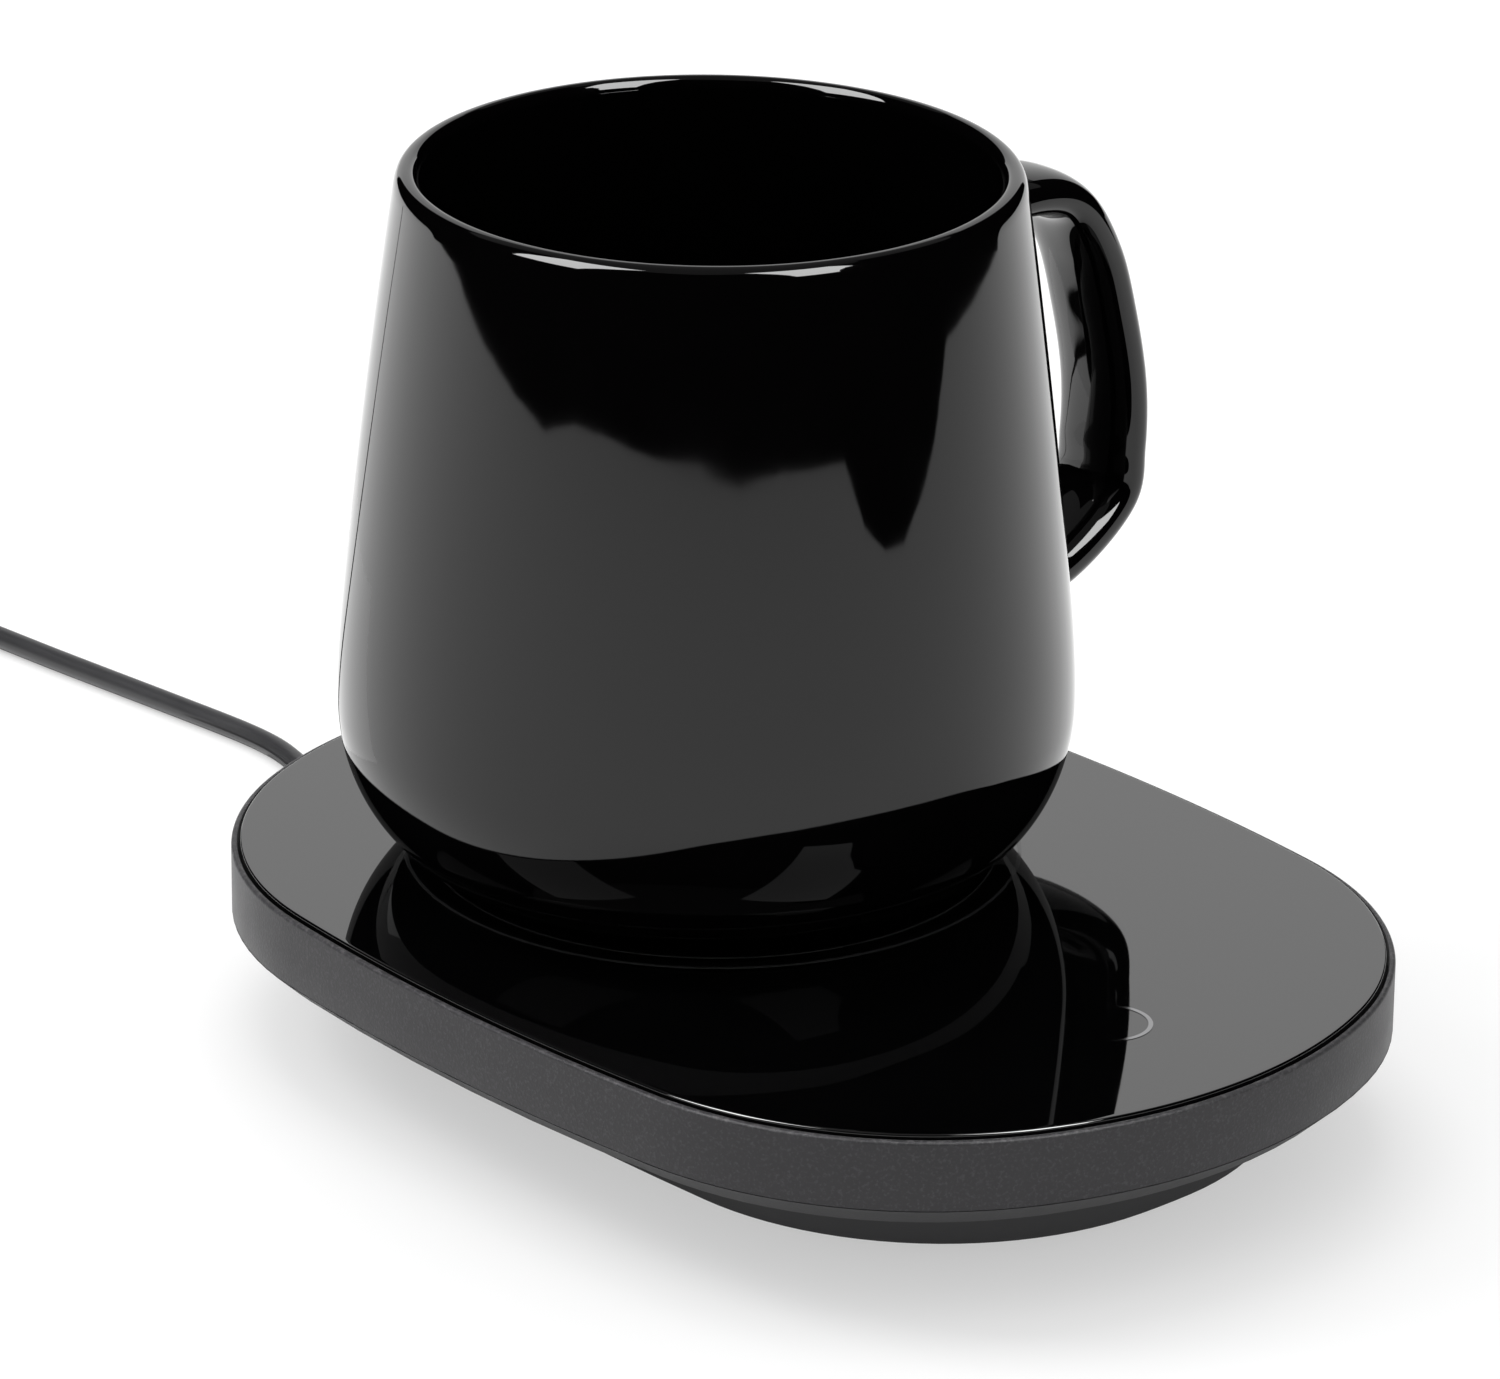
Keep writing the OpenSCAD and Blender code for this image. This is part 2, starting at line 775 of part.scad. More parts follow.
module bottom_case() {
  color([0.18, 0.18, 0.19])
    difference() {
      union() {
        difference() {
          union() {
            skin([ring(stand_oval, bevel_in, z_under), ring(stand_oval, 0, z_seam)]);
            slab(plinth_oval, 0, foot_h, z_seam - foot_h - 0.5);
          }
          slab(plinth_oval, case_wall, z_floor, stand_h);
        }
        difference() {
          slab(stand_oval, rib_in, z_seam - 0.5, rib_h + 0.5);
          slab(stand_oval, rib_in + rib_w, z_under, stand_h);
        }
        for (p = post_spots)
          translate([p.x, p.y, z_floor - 0.5]) cylinder(r = boss_r, h = post_h + 0.5);
      }
      for (p = foot_spots)
        translate([p.x, p.y, foot_h - eps]) cylinder(d = foot_d + seat_gap, h = foot_recess + eps);
      for (p = post_spots)
        translate([p.x, p.y, foot_h + post_skin])
          cylinder(r = board_screw_r + screw_gap, h = stand_h, $fn = 32);
      for (p = case_screw_spots)
        translate([p.x, p.y, z_under - eps]) {
          cylinder(r = case_screw_r + free_gap, h = stand_h, $fn = 32);
          cylinder(r = case_head_r + free_gap, h = head_seat + eps, $fn = 32);
        }
      translate([0, plinth_l / 2 - case_wall - eps, z_relief])
        rotate([-90, 0, 0]) cylinder(d = relief_d, h = case_wall + 2 * eps);
    }
}

module case_screws() {
  color([0.3, 0.3, 0.32])
    for (p = case_screw_spots)
      translate([p.x, p.y, z_under + head_seat])
        screw(case_screw_r, z_deck - boss_skin - screw_end - z_under - head_seat, case_head_r, case_head_h);
}

module rubber_feet() {
  color([0.1, 0.1, 0.1])
    for (p = foot_spots)
      translate([p.x, p.y, 0])
        rotate_extrude()
          polygon([
            [0, 0], [foot_d / 2 - 0.6, 0], [foot_d / 2, 0.6],
            [foot_d / 2, foot_h + foot_recess], [0, foot_h + foot_recess]
          ]);
}

// Cord and plug
relief_tip_d = 4.4;
collar_w = 9;
relief_y = plinth_l / 2;
cord_exit = [0, relief_y + relief_l, z_relief];

module strain_relief() {
  neck = relief_d / 2 - 0.1;
  wide = relief_d / 2 + 0.1;
  slope = (wide - relief_tip_d / 2) / relief_l;
  grooves = 3;
  color([0.16, 0.16, 0.17]) {
    turned_y(
      [0, relief_y - case_wall - 0.5, z_relief],
      concat(
        [[0, neck], [case_wall + 0.5, neck], [case_wall + 0.5, wide]],
        [
          for (i = [0:grooves - 1], step = [[0, 0], [0, -0.5], [1, -0.5], [1, 0]])
            let (along = 3 + 3.4 * i + step[0])
            [case_wall + 0.5 + along, wide - slope * along + step[1]]
        ],
        [[case_wall + 0.5 + relief_l, relief_tip_d / 2]]
      )
    );
    translate([-collar_w / 2, relief_in_y, z_relief - neck]) cube([collar_w, collar_t, 2 * neck]);
  }
}

route_steps = 2;

// Free stretch from the strain relief to the coil, lying on the surface from its sixth point on
route = [
  cord_exit, [0, 88, 9.4], [1.2, 94, 8], [3.8, 102, 4.6], [7, 110, 2.2], [10, 118, 1.6],
  [12, 126, 1.6], [12.4, 134, 1.6], [11.6, 145, 1.6], [10.2, 160, 1.6], [8.8, 175, 1.6],
  [7.8, 188, 1.6], [7, 198, 1.6], [6.7, 207, 1.6]
];
coil_turns = 6.5;
coil_w = 14;
coil_h = 6.6;
coil_edge = 1.6;
plug_y = 190;
plug_z = 4;
tail_l = route[len(route) - 1].y - plug_y;
coil_r = (cord_l - path_length(smooth(route, route_steps)) - tail_l) / (2 * PI * coil_turns);
coil_out = coil_r + (coil_w - cord_d) / 2 - 0.1;
coil_at = [route[len(route) - 1].x - coil_out, route[len(route) - 1].y];
// Tail from the coil's upper layer to the plug
tail_x = coil_at.x - coil_out;
tail = [[tail_x, coil_at.y, 5], [tail_x, 202, 5], [tail_x, 197, 4.6], [tail_x, plug_y, plug_z]];

module cord() {
  color([0.2, 0.2, 0.21]) {
    wire(smooth(route, route_steps), cord_d);
    wire(tail, cord_d);
  }
}

module cord_coil() {
  color([0.2, 0.2, 0.21])
    translate([coil_at.x, coil_at.y, 0])
      rotate_extrude()
        translate([coil_r, 0])
          polygon([
            [coil_edge - coil_w / 2, 0], [coil_w / 2 - coil_edge, 0],
            [coil_w / 2, coil_edge], [coil_w / 2, coil_h - coil_edge],
            [coil_w / 2 - coil_edge, coil_h], [coil_edge - coil_w / 2, coil_h],
            [-coil_w / 2, coil_h - coil_edge], [-coil_w / 2, coil_edge]
          ]);
}

boot_l = 6;             // part of the overmould that narrows to the cord
usb_w = 12;
usb_h = 4.5;
usb_sheet = 0.3;
usb_seat = 4;           // length of the metal shell inside the overmould
tongue_t = 1.84;
contact_w = 1;
contact_l = 8;
contact_t = 0.2;
latch_x = 2.9;          // the square holes in the shell's wide faces
latch_y = 7.6;
latch_w = 2.2;
latch_l = 2.4;

// A bar of w by h with corners of radius r that runs from y towards -Y over length l
module bar(y, w, h, r, l) {
  translate([tail_x, y, plug_z])
    rotate([90, 0, 0])
      linear_extrude(l)
        union() {
          square([w - 2 * r, h], center = true);
          square([w, h - 2 * r], center = true);
          for (s = [-1, 1], t = [-1, 1])
            translate([s * (w / 2 - r), t * (h / 2 - r)]) circle(r = r, $fn = 24);
        }
}

module usb_overmould() {
  color([0.12, 0.12, 0.13])
    difference() {
      union() {
        bar(plug_y - boot_l, overmould_w, overmould_h, 2, overmould_l - boot_l);
        bar(plug_y, cord_d + 3, cord_d + 2.4, 1.5, boot_l + eps);
      }
      bar(plug_y - overmould_l + usb_seat, usb_w, usb_h, 0.5, usb_seat + eps);
    }
}

module usb_shell() {
  front = plug_y - overmould_l + usb_seat;
  color([0.75, 0.76, 0.78])
    difference() {
      bar(front, usb_w, usb_h, 0.5, usb_l + usb_seat);
      bar(front - 1, usb_w - 2 * usb_sheet, usb_h - 2 * usb_sheet, 0.3, usb_l + usb_seat);
      for (s = [-1, 1])
        translate([tail_x + s * latch_x - latch_w / 2, front - usb_seat - latch_y, plug_z - usb_h])
          cube([latch_w, latch_l, 2 * usb_h]);
    }
}

module usb_tongue() {
  front = plug_y - overmould_l + usb_seat - 1;
  inner_w = usb_w - 2 * usb_sheet - 0.4;
  color([0.9, 0.9, 0.9])
    translate([tail_x - inner_w / 2, front - usb_l - usb_seat + 2, plug_z - usb_h / 2 + usb_sheet + 0.05])
      cube([inner_w, usb_l + usb_seat - 2, tongue_t]);
}

module usb_contacts() {
  front = plug_y - overmould_l + usb_seat - 2;
  color([0.85, 0.7, 0.3])
    for (x = [-3.5, -1, 1, 3.5])
      translate([
        tail_x + x - contact_w / 2, front - usb_l - usb_seat + 4.4,
        plug_z - usb_h / 2 + usb_sheet + 0.05 + tongue_t
      ])
        cube([contact_w, contact_l, contact_t]);
}

// Mug
rim_r = rim_t / 2;
rim_z = mug_h - rim_r;
belly_r = belly_d / 2;
bulge = 0.46;           // how far the side bows out half way up
upright = 5;            // straight stretch between the curve and the belly
curve_a = belly_r * 0.352; // half axes of the quarter ellipse below the belly
curve_b = belly_z - upright;
curve_x = belly_r - curve_a;
mug_floor = 5.5;        // height of the lowest point inside
inner_z = curve_b + 1;  // height at which the inside starts to curve
inner_a = curve_a - mug_wall;
inner_b = inner_z - mug_floor;
foot_w = 4;
foot_lift = 2;          // depth of the hollow inside the foot ring
side_steps = 8;
curve_steps = 9;
foot_angle = acos((mug_foot_r - curve_x) / curve_a);

function side_r_at(t) = blend(belly_r, rim_d / 2, t) + 4 * bulge * t * (1 - t);
function side_z_at(t) = blend(belly_z, rim_z, t);
function wall_at(t) = blend(mug_wall, rim_t, t);

module mug_wall_profile() {
  outer_curve = [
    for (i = [0:curve_steps])
      let (a = -foot_angle * (1 - i / curve_steps))
      [curve_x + curve_a * cos(a), curve_b + curve_b * sin(a)]
  ];
  outer_side = [for (i = [0:side_steps]) [side_r_at(i / side_steps), side_z_at(i / side_steps)]];
  rim = [for (a = [20:20:160]) [rim_d / 2 - rim_r + rim_r * cos(a), rim_z + rim_r * sin(a)]];
  inner_side = [
    for (i = [side_steps:-1:0])
      let (t = i / side_steps)
      [side_r_at(t) - wall_at(t), side_z_at(t)]
  ];
  inner_curve = [
    for (i = [1:curve_steps])
      let (a = -90 * i / curve_steps)
      [curve_x + inner_a * cos(a), inner_z + inner_b * sin(a)]
  ];
  polygon(concat(
    [[0, foot_lift], [mug_foot_r - foot_w, foot_lift], [mug_foot_r - foot_w + 0.4, 0], [mug_foot_r - 0.8, 0]],
    outer_curve, outer_side, rim, inner_side, inner_curve,
    [[0, mug_floor]]
  ));
}

// Middle line of the handle, as shares of the belly's radius and of the mug's height
handle_spots = [
  [0.843, 0.842], [1.098, 0.847], [1.253, 0.819], [1.363, 0.736], [1.428, 0.632], [1.473, 0.523],
  [1.477, 0.427], [1.444, 0.347], [1.233, 0.272], [0.959, 0.242]
];
handle_line = smooth([for (p = handle_spots) [belly_r * p.x, mug_h * p.y]], 3);
handle_sides = 20;
handle_grow = 0.3;      // by which half the depth grows on the way down
handle_square = 0.85;   // power that squares the section off

function squared(v) = sign(v) * pow(abs(v), handle_square);

module handle() {
  n = len(handle_line) - 1;
  skin([
    for (i = [0:n])
      let (
        h = heading(handle_line, i),
        across = [h.y, 0, -h.x],
        half = handle_t / 2 + handle_grow * min(1, 2.2 * i / n)
      )
      [
        for (k = [0:handle_sides - 1])
          let (a = 360 * k / handle_sides)
          [handle_line[i].x, 0, handle_line[i].y]
            + across * half * squared(cos(a)) + [0, handle_w / 2 * squared(sin(a)), 0]
      ]
  ]);
}

module mug() {
  color([0.1, 0.1, 0.1])
    translate([0, zone_y + mug_back, z_mug])
      union() {
        rotate_extrude($fn = 128) mug_wall_profile();
        handle();
      }
}

top_shell();
glass_top();
glass_gasket();
zone_print();
touch_print();
heater_plate();
heater_film();
insulation_pad();
heater_bracket();
bracket_screws();
thermal_fuse();
thermistor();
heater_leads();
sensor_leads();
touch_electrode();
touch_spring();
status_led();
control_board();
control_chip();
switch_transistor();
capacitor();
heater_socket();
cord_socket();
board_screws();
bottom_case();
case_screws();
rubber_feet();
strain_relief();
cord_leads();
cord();
cord_coil();
usb_overmould();
usb_shell();
usb_tongue();
usb_contacts();
mug();
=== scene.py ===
import json
import math

import bpy
import numpy as np
from mathutils import Matrix, Vector
from mathutils.geometry import tessellate_polygon


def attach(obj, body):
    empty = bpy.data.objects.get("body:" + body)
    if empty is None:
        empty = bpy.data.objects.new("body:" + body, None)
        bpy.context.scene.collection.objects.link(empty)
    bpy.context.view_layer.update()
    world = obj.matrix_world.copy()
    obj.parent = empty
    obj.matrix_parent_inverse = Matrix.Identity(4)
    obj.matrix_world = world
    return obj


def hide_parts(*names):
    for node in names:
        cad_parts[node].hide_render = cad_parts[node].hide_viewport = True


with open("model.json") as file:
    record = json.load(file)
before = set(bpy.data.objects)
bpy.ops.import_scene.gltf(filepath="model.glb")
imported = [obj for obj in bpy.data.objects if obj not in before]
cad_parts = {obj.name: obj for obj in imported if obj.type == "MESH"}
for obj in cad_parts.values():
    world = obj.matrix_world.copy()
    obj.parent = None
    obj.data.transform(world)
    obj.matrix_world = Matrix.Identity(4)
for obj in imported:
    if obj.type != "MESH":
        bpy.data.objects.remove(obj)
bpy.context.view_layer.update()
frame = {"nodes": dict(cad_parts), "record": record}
nodes = frame["nodes"]
scene = bpy.context.scene
scene.view_settings.view_transform = "Standard"
mm = 0.001  # the pieces' own sizes are in millimetres

cameraView = {
    "place": (-0.671656, -0.738443, 0.455902),
    "right": (0.74761647, -0.66404702, 0.01054382),
    "up": (0.24117928, 0.2862552, 0.92730282),
    "forward": (0.6187909, 0.69072391, -0.37416348),
    "lens": 197.75,
    "sensor": 36,
    "clip": (0.05, 50),
}


def placeCamera(view):
    # the columns of the camera's turn are its right, its up and the way back from the view
    data = bpy.data.cameras.new("camera")
    data.lens = view["lens"]
    data.sensor_width = view["sensor"]
    data.sensor_fit = "HORIZONTAL"
    data.clip_start, data.clip_end = view["clip"]
    camera = bpy.data.objects.new("camera", data)
    scene.collection.objects.link(camera)
    turn = Matrix((view["right"], view["up"], [-x for x in view["forward"]])).transposed()
    camera.matrix_world = Matrix.Translation(view["place"]) @ turn.to_4x4()
    scene.camera = camera


placeCamera(cameraView)
print("camera is in place")


def startMaterial(name, settings):
    # a Principled material with constant numbers on its own sockets
    material = bpy.data.materials.new(name)
    material.use_nodes = True
    shader = material.node_tree.nodes["Principled BSDF"]
    shader.inputs["Base Color"].default_value = (*settings["color"], 1)
    shader.inputs["Roughness"].default_value = settings["roughness"]
    shader.inputs["Metallic"].default_value = settings["metallic"]
    shader.inputs["IOR"].default_value = settings["ior"]
    shader.inputs["Sheen Weight"].default_value = settings["sheen"]
    shader.inputs["Sheen Roughness"].default_value = settings["sheenRoughness"]
    return material, shader


def noiseNode(tree, coord, scale, detail, stretch=None, roughness=0.6):
    # fractal noise on object coordinates, in grains per metre
    noise = tree.nodes.new("ShaderNodeTexNoise")
    noise.inputs["Scale"].default_value = scale
    noise.inputs["Detail"].default_value = detail
    noise.inputs["Roughness"].default_value = roughness
    if stretch is not None:
        mapping = tree.nodes.new("ShaderNodeMapping")
        mapping.inputs["Scale"].default_value = stretch
        tree.links.new(coord, mapping.inputs["Vector"])
        coord = mapping.outputs["Vector"]
    tree.links.new(coord, noise.inputs["Vector"])
    return noise.outputs["Fac"]


def rangeNode(tree, value, low, high, fromLow=0.3, fromHigh=0.7):
    # carries a noise value over to a range of numbers
    node = tree.nodes.new("ShaderNodeMapRange")
    node.inputs["From Min"].default_value = fromLow
    node.inputs["From Max"].default_value = fromHigh
    node.inputs["To Min"].default_value = low
    node.inputs["To Max"].default_value = high
    tree.links.new(value, node.inputs["Value"])
    return node.outputs["Result"]


def mathNode(tree, operation, first, second):
    # one sum, product or the like of two sockets
    node = tree.nodes.new("ShaderNodeMath")
    node.operation = operation
    tree.links.new(first, node.inputs[0])
    tree.links.new(second, node.inputs[1])
    return node.outputs["Value"]


def mixNode(tree, factor, low, high):
    # blends two colours, each a plain tuple or a socket
    mix = tree.nodes.new("ShaderNodeMix")
    mix.data_type = "RGBA"
    tree.links.new(factor, mix.inputs["Factor"])
    for slot, color in (("A", low), ("B", high)):
        if isinstance(color, tuple):
            mix.inputs[slot].default_value = (*color, 1)
        else:
            tree.links.new(color, mix.inputs[slot])
    return mix.outputs["Result"]


def wornColor(tree, coord, color, worn):
    # pale specks where the top edge is rubbed, by height above the table
    height = tree.nodes.new("ShaderNodeSeparateXYZ")
    tree.links.new(coord, height.inputs["Vector"])
    near = rangeNode(tree, height.outputs["Z"], 0, worn["amount"], worn["low"], worn["high"])
    dots = rangeNode(tree, noiseNode(tree, coord, worn["scale"], worn["detail"]), 0, 1, *worn["dots"])
    return mixNode(tree, mathNode(tree, "MULTIPLY", near, dots), color, worn["color"])


def grainMaterial(name, settings):
    # cloudy colour, uneven roughness and a fine bumped grain
    material, shader = startMaterial(name, settings)
    tree = material.node_tree
    coord = tree.nodes.new("ShaderNodeTexCoord").outputs["Object"]
    stretch = settings.get("stretch")
    cloud = noiseNode(tree, coord, settings["cloudScale"], settings["cloudDetail"], stretch)
    low = tuple(c * (1 - settings["spread"]) for c in settings["color"])
    high = tuple(min(1, c * (1 + settings["spread"])) for c in settings["color"])
    color = mixNode(tree, rangeNode(tree, cloud, 0, 1), low, high)
    grain = noiseNode(tree, coord, settings["grainScale"], settings["grainDetail"], stretch)
    if "fleck" in settings:
        light = tuple(c * settings["fleck"] for c in settings["color"])
        color = mixNode(tree, rangeNode(tree, grain, 0, 1, *settings["flecks"]), color, light)
    if "worn" in settings:
        color = wornColor(tree, coord, color, settings["worn"])
    tree.links.new(color, shader.inputs["Base Color"])
    low = max(settings["smoothest"], settings["roughness"] - settings["uneven"])
    high = settings["roughness"] + settings["uneven"]
    tree.links.new(rangeNode(tree, cloud, low, high), shader.inputs["Roughness"])
    if "grainHeight" in settings:
        bump = tree.nodes.new("ShaderNodeBump")
        bump.inputs["Strength"].default_value = settings["grainStrength"]
        bump.inputs["Distance"].default_value = settings["grainHeight"]
        tree.links.new(grain, bump.inputs["Height"])
        tree.links.new(bump.outputs["Normal"], shader.inputs["Normal"])
    return material


# what a finish has unless it says otherwise; a spread is the share by which the colour varies
plainFinish = {"metallic": 0, "ior": 1.5, "sheen": 0, "sheenRoughness": 0.4, "cloudScale": 60,
               "cloudDetail": 4, "spread": 0.1, "uneven": 0.05, "smoothest": 0.01, "grainDetail": 2,
               "grainStrength": 1, "flecks": (0.52, 0.7)}
finishes = {
    "band_plastic": {"color": (0.019, 0.0182, 0.0205), "roughness": 0.5, "ior": 1.42, "grainScale": 2300,
                     "grainHeight": 0.00006, "grainStrength": 0.6, "fleck": 1.9, "sheen": 0.12,
                     "worn": {"low": 0.0243, "high": 0.02488, "amount": 0.45, "scale": 1300, "detail": 3,
                              "dots": (0.5, 0.68), "color": (0.13, 0.125, 0.13)}},
    "black_glass": {"color": (0.001, 0.001, 0.0011), "roughness": 0.02, "ior": 1.76, "uneven": 0.006,
                    "grainScale": 30},
    "gasket_foam": {"color": (0.01, 0.01, 0.01), "roughness": 0.9, "grainScale": 1800,
                    "grainHeight": 0.00012},
    "zone_enamel": {"color": (0.02, 0.02, 0.0205), "roughness": 0.06, "ior": 1.6, "uneven": 0.02,
                    "grainScale": 900},
    "touch_enamel": {"color": (0.3, 0.3, 0.305), "roughness": 0.05, "metallic": 1, "uneven": 0.02,
                     "grainScale": 900},
    "plate_aluminium": {"color": (0.72, 0.73, 0.74), "roughness": 0.32, "metallic": 1, "grainScale": 400,
                        "stretch": (1, 30, 1), "grainHeight": 0.00002},
    "film_amber": {"color": (0.55, 0.2, 0.02), "roughness": 0.25, "grainScale": 200},
    "pad_felt": {"color": (0.72, 0.69, 0.6), "roughness": 0.95, "grainScale": 1500,
                 "grainHeight": 0.0003, "spread": 0.15},
    "bracket_steel": {"color": (0.56, 0.57, 0.58), "roughness": 0.35, "metallic": 1, "grainScale": 500,
                      "grainHeight": 0.00001},
    "screw_steel": {"color": (0.6, 0.6, 0.6), "roughness": 0.3, "metallic": 1, "grainScale": 900},
    "screw_black": {"color": (0.03, 0.03, 0.032), "roughness": 0.4, "metallic": 0.6, "grainScale": 900},
    "fuse_metal": {"color": (0.75, 0.74, 0.7), "roughness": 0.22, "metallic": 1, "grainScale": 900},
    "bead_black": {"color": (0.02, 0.02, 0.02), "roughness": 0.2, "grainScale": 900},
    "lead_red": {"color": (0.42, 0.02, 0.015), "roughness": 0.5, "grainScale": 900},
    "lead_black": {"color": (0.015, 0.015, 0.015), "roughness": 0.5, "grainScale": 900},
    "electrode_brass": {"color": (0.72, 0.52, 0.2), "roughness": 0.28, "metallic": 1, "grainScale": 900},
    "spring_steel": {"color": (0.7, 0.7, 0.71), "roughness": 0.22, "metallic": 1, "grainScale": 900},
    "led_white": {"color": (0.85, 0.83, 0.7), "roughness": 0.25, "grainScale": 900},
    "board_green": {"color": (0.012, 0.12, 0.045), "roughness": 0.35, "grainScale": 700, "spread": 0.25},
    "chip_black": {"color": (0.02, 0.02, 0.02), "roughness": 0.6, "grainScale": 2500,
                   "grainHeight": 0.00002},
    "capacitor_blue": {"color": (0.04, 0.07, 0.22), "roughness": 0.35, "grainScale": 900},
    "socket_white": {"color": (0.8, 0.78, 0.7), "roughness": 0.5, "grainScale": 900},
    "case_plastic": {"color": (0.03, 0.03, 0.0315), "roughness": 0.48, "grainScale": 2600,
                     "grainHeight": 0.00005, "grainStrength": 0.5, "spread": 0.08},
    "foot_rubber": {"color": (0.018, 0.018, 0.018), "roughness": 0.8, "grainScale": 1600,
                    "grainHeight": 0.00004},
    "cord_rubber": {"color": (0.026, 0.026, 0.028), "roughness": 0.42, "grainScale": 1500,
                    "grainHeight": 0.00002, "grainStrength": 0.5},
    "plug_plastic": {"color": (0.022, 0.022, 0.024), "roughness": 0.45, "grainScale": 2400,
                     "grainHeight": 0.00004},
    "plug_metal": {"color": (0.7, 0.71, 0.73), "roughness": 0.2, "metallic": 1, "grainScale": 400,
                   "stretch": (20, 1, 1), "grainHeight": 0.000004},
    "mug_glaze": {"color": (0.0009, 0.0008, 0.0009), "roughness": 0.035, "ior": 1.46, "uneven": 0.012,
                  "grainScale": 70, "grainHeight": 0.00004, "grainStrength": 0.25, "spread": 0.15},
}
materials = {name: grainMaterial(name, {**plainFinish, **own}) for name, own in finishes.items()}
for part in frame["record"]["subparts"]:
    node = nodes[part["node"]]
    node.data.materials.clear()
    node.data.materials.append(materials[part["material_slot"]])
print("materials are made:", len(materials))


def gridQuads(rows, cols, wrapRows):
    # quads between neighbouring rows of points; each row is a closed ring
    r = np.arange(rows if wrapRows else rows - 1)[:, None]
    c = np.arange(cols)[None, :]
    nextRow, nextCol = (r + 1) % rows, (c + 1) % cols
    return np.stack([r * cols + c, r * cols + nextCol, nextRow * cols + nextCol, nextRow * cols + c],
                    -1).reshape(-1, 4)


def shellArrays(rings, wrap=False):
    # a closed shell over rings of points: wrapped into itself, or ended in a pole at each end
    rows, cols = rings.shape[:2]
    points = rings.reshape(-1, 3)
    faces = gridQuads(rows, cols, wrap).tolist()
    if not wrap:
        k = np.arange(cols)
        follow = (k + 1) % cols
        first, last = len(points), len(points) + 1
        points = np.vstack([points, rings[0].mean(0), rings[-1].mean(0)])
        faces += np.stack([follow, k, np.full(cols, first)], -1).tolist()
        base = (rows - 1) * cols
        faces += np.stack([base + k, base + follow, np.full(cols, last)], -1).tolist()
    quads = np.array([f if len(f) == 4 else f + [f[2]] for f in faces])
    a, b, c, d = (points[quads[:, i]] for i in range(4))
    volume = (a * np.cross(b, c)).sum() + (a * np.cross(c, d)).sum()
    if volume < 0:  # faces point outwards
        faces = [f[::-1] for f in faces]
    return points, faces


def addPiece(name, shells, slot, body, replaced, sharp=38):
    # one mesh from several closed shells, smooth but for edges sharper than the given angle
    points, faces = [], []
    for shellPoints, shellFaces in shells:
        start = sum(len(p) for p in points)
        points.append(shellPoints)
        faces += [[i + start for i in f] for f in shellFaces]
    mesh = bpy.data.meshes.new(name)
    mesh.from_pydata((np.vstack(points) * mm).tolist(), [], faces)
    mesh.polygons.foreach_set("use_smooth", np.ones(len(mesh.polygons), bool))
    mesh.set_sharp_from_angle(angle=math.radians(sharp))
    mesh.materials.append(materials[slot])
    piece = bpy.data.objects.new(name, mesh)
    scene.collection.objects.link(piece)
    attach(piece, body)
    if replaced:
        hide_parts(*replaced)
    return piece


def catmull(points, steps):
    # smooth path through all points: the Catmull-Rom cubic between each two
    p = np.array(points, float)
    p = np.vstack([2 * p[0] - p[1], p, 2 * p[-1] - p[-2]])
    t = np.arange(steps)[None, :, None] / steps
    a, b, c, d = (p[i:len(p) - 3 + i][:, None, :] for i in range(4))
    path = 0.5 * (2 * b + (c - a) * t + (2 * a - 5 * b + 4 * c - d) * t ** 2
                  + (3 * b - a - 3 * c + d) * t ** 3)
    return np.vstack([path.reshape(-1, p.shape[1]), p[-2]])


cordShape = {
    "diameter": 3.2,
    "length": 889.0,
    "route": [(0, 83, 9.4), (0, 88, 9.4), (1.2, 94, 8), (3.8, 102, 4.6), (7, 110, 2.2), (10, 118, 1.6),
              (12, 126, 1.6), (12.4, 134, 1.6), (11.6, 145, 1.6), (10.2, 160, 1.6), (8.8, 175, 1.6),
              (7.8, 188, 1.6), (7, 198, 1.6), (6.7, 207, 1.6)],
    "turns": 6.5,
    "coilWidth": 14,
    "plugY": 190,
    "plugZ": 4,
    "pitch": 3.3,
    "upperZ": 4.95,
    "slack": 0.1,
    "crossTurns": 0.5,
    "tailY": (202, 197),
    "tailDrop": 4.6,
    "plugGap": 0.5,
    "routeSteps": 2,
    "turnSteps": 20,
    "curveSteps": 3,
    "bevelSteps": 5,
}

tieShape = {
    "turn": 300,
    "width": 15.4,
    "height": 7.3,
    "thick": 0.7,
    "length": 5,
    "corner": 2.6,
    "lift": 0.01,
    "around": 64,
    "sharp": 30,
    "head": (4.2, 1.8, 6),
    "headSunk": 0.4,
    "headRows": ((0.94, 0), (1, 0.2), (1, 0.7), (0.8, 1)),
}


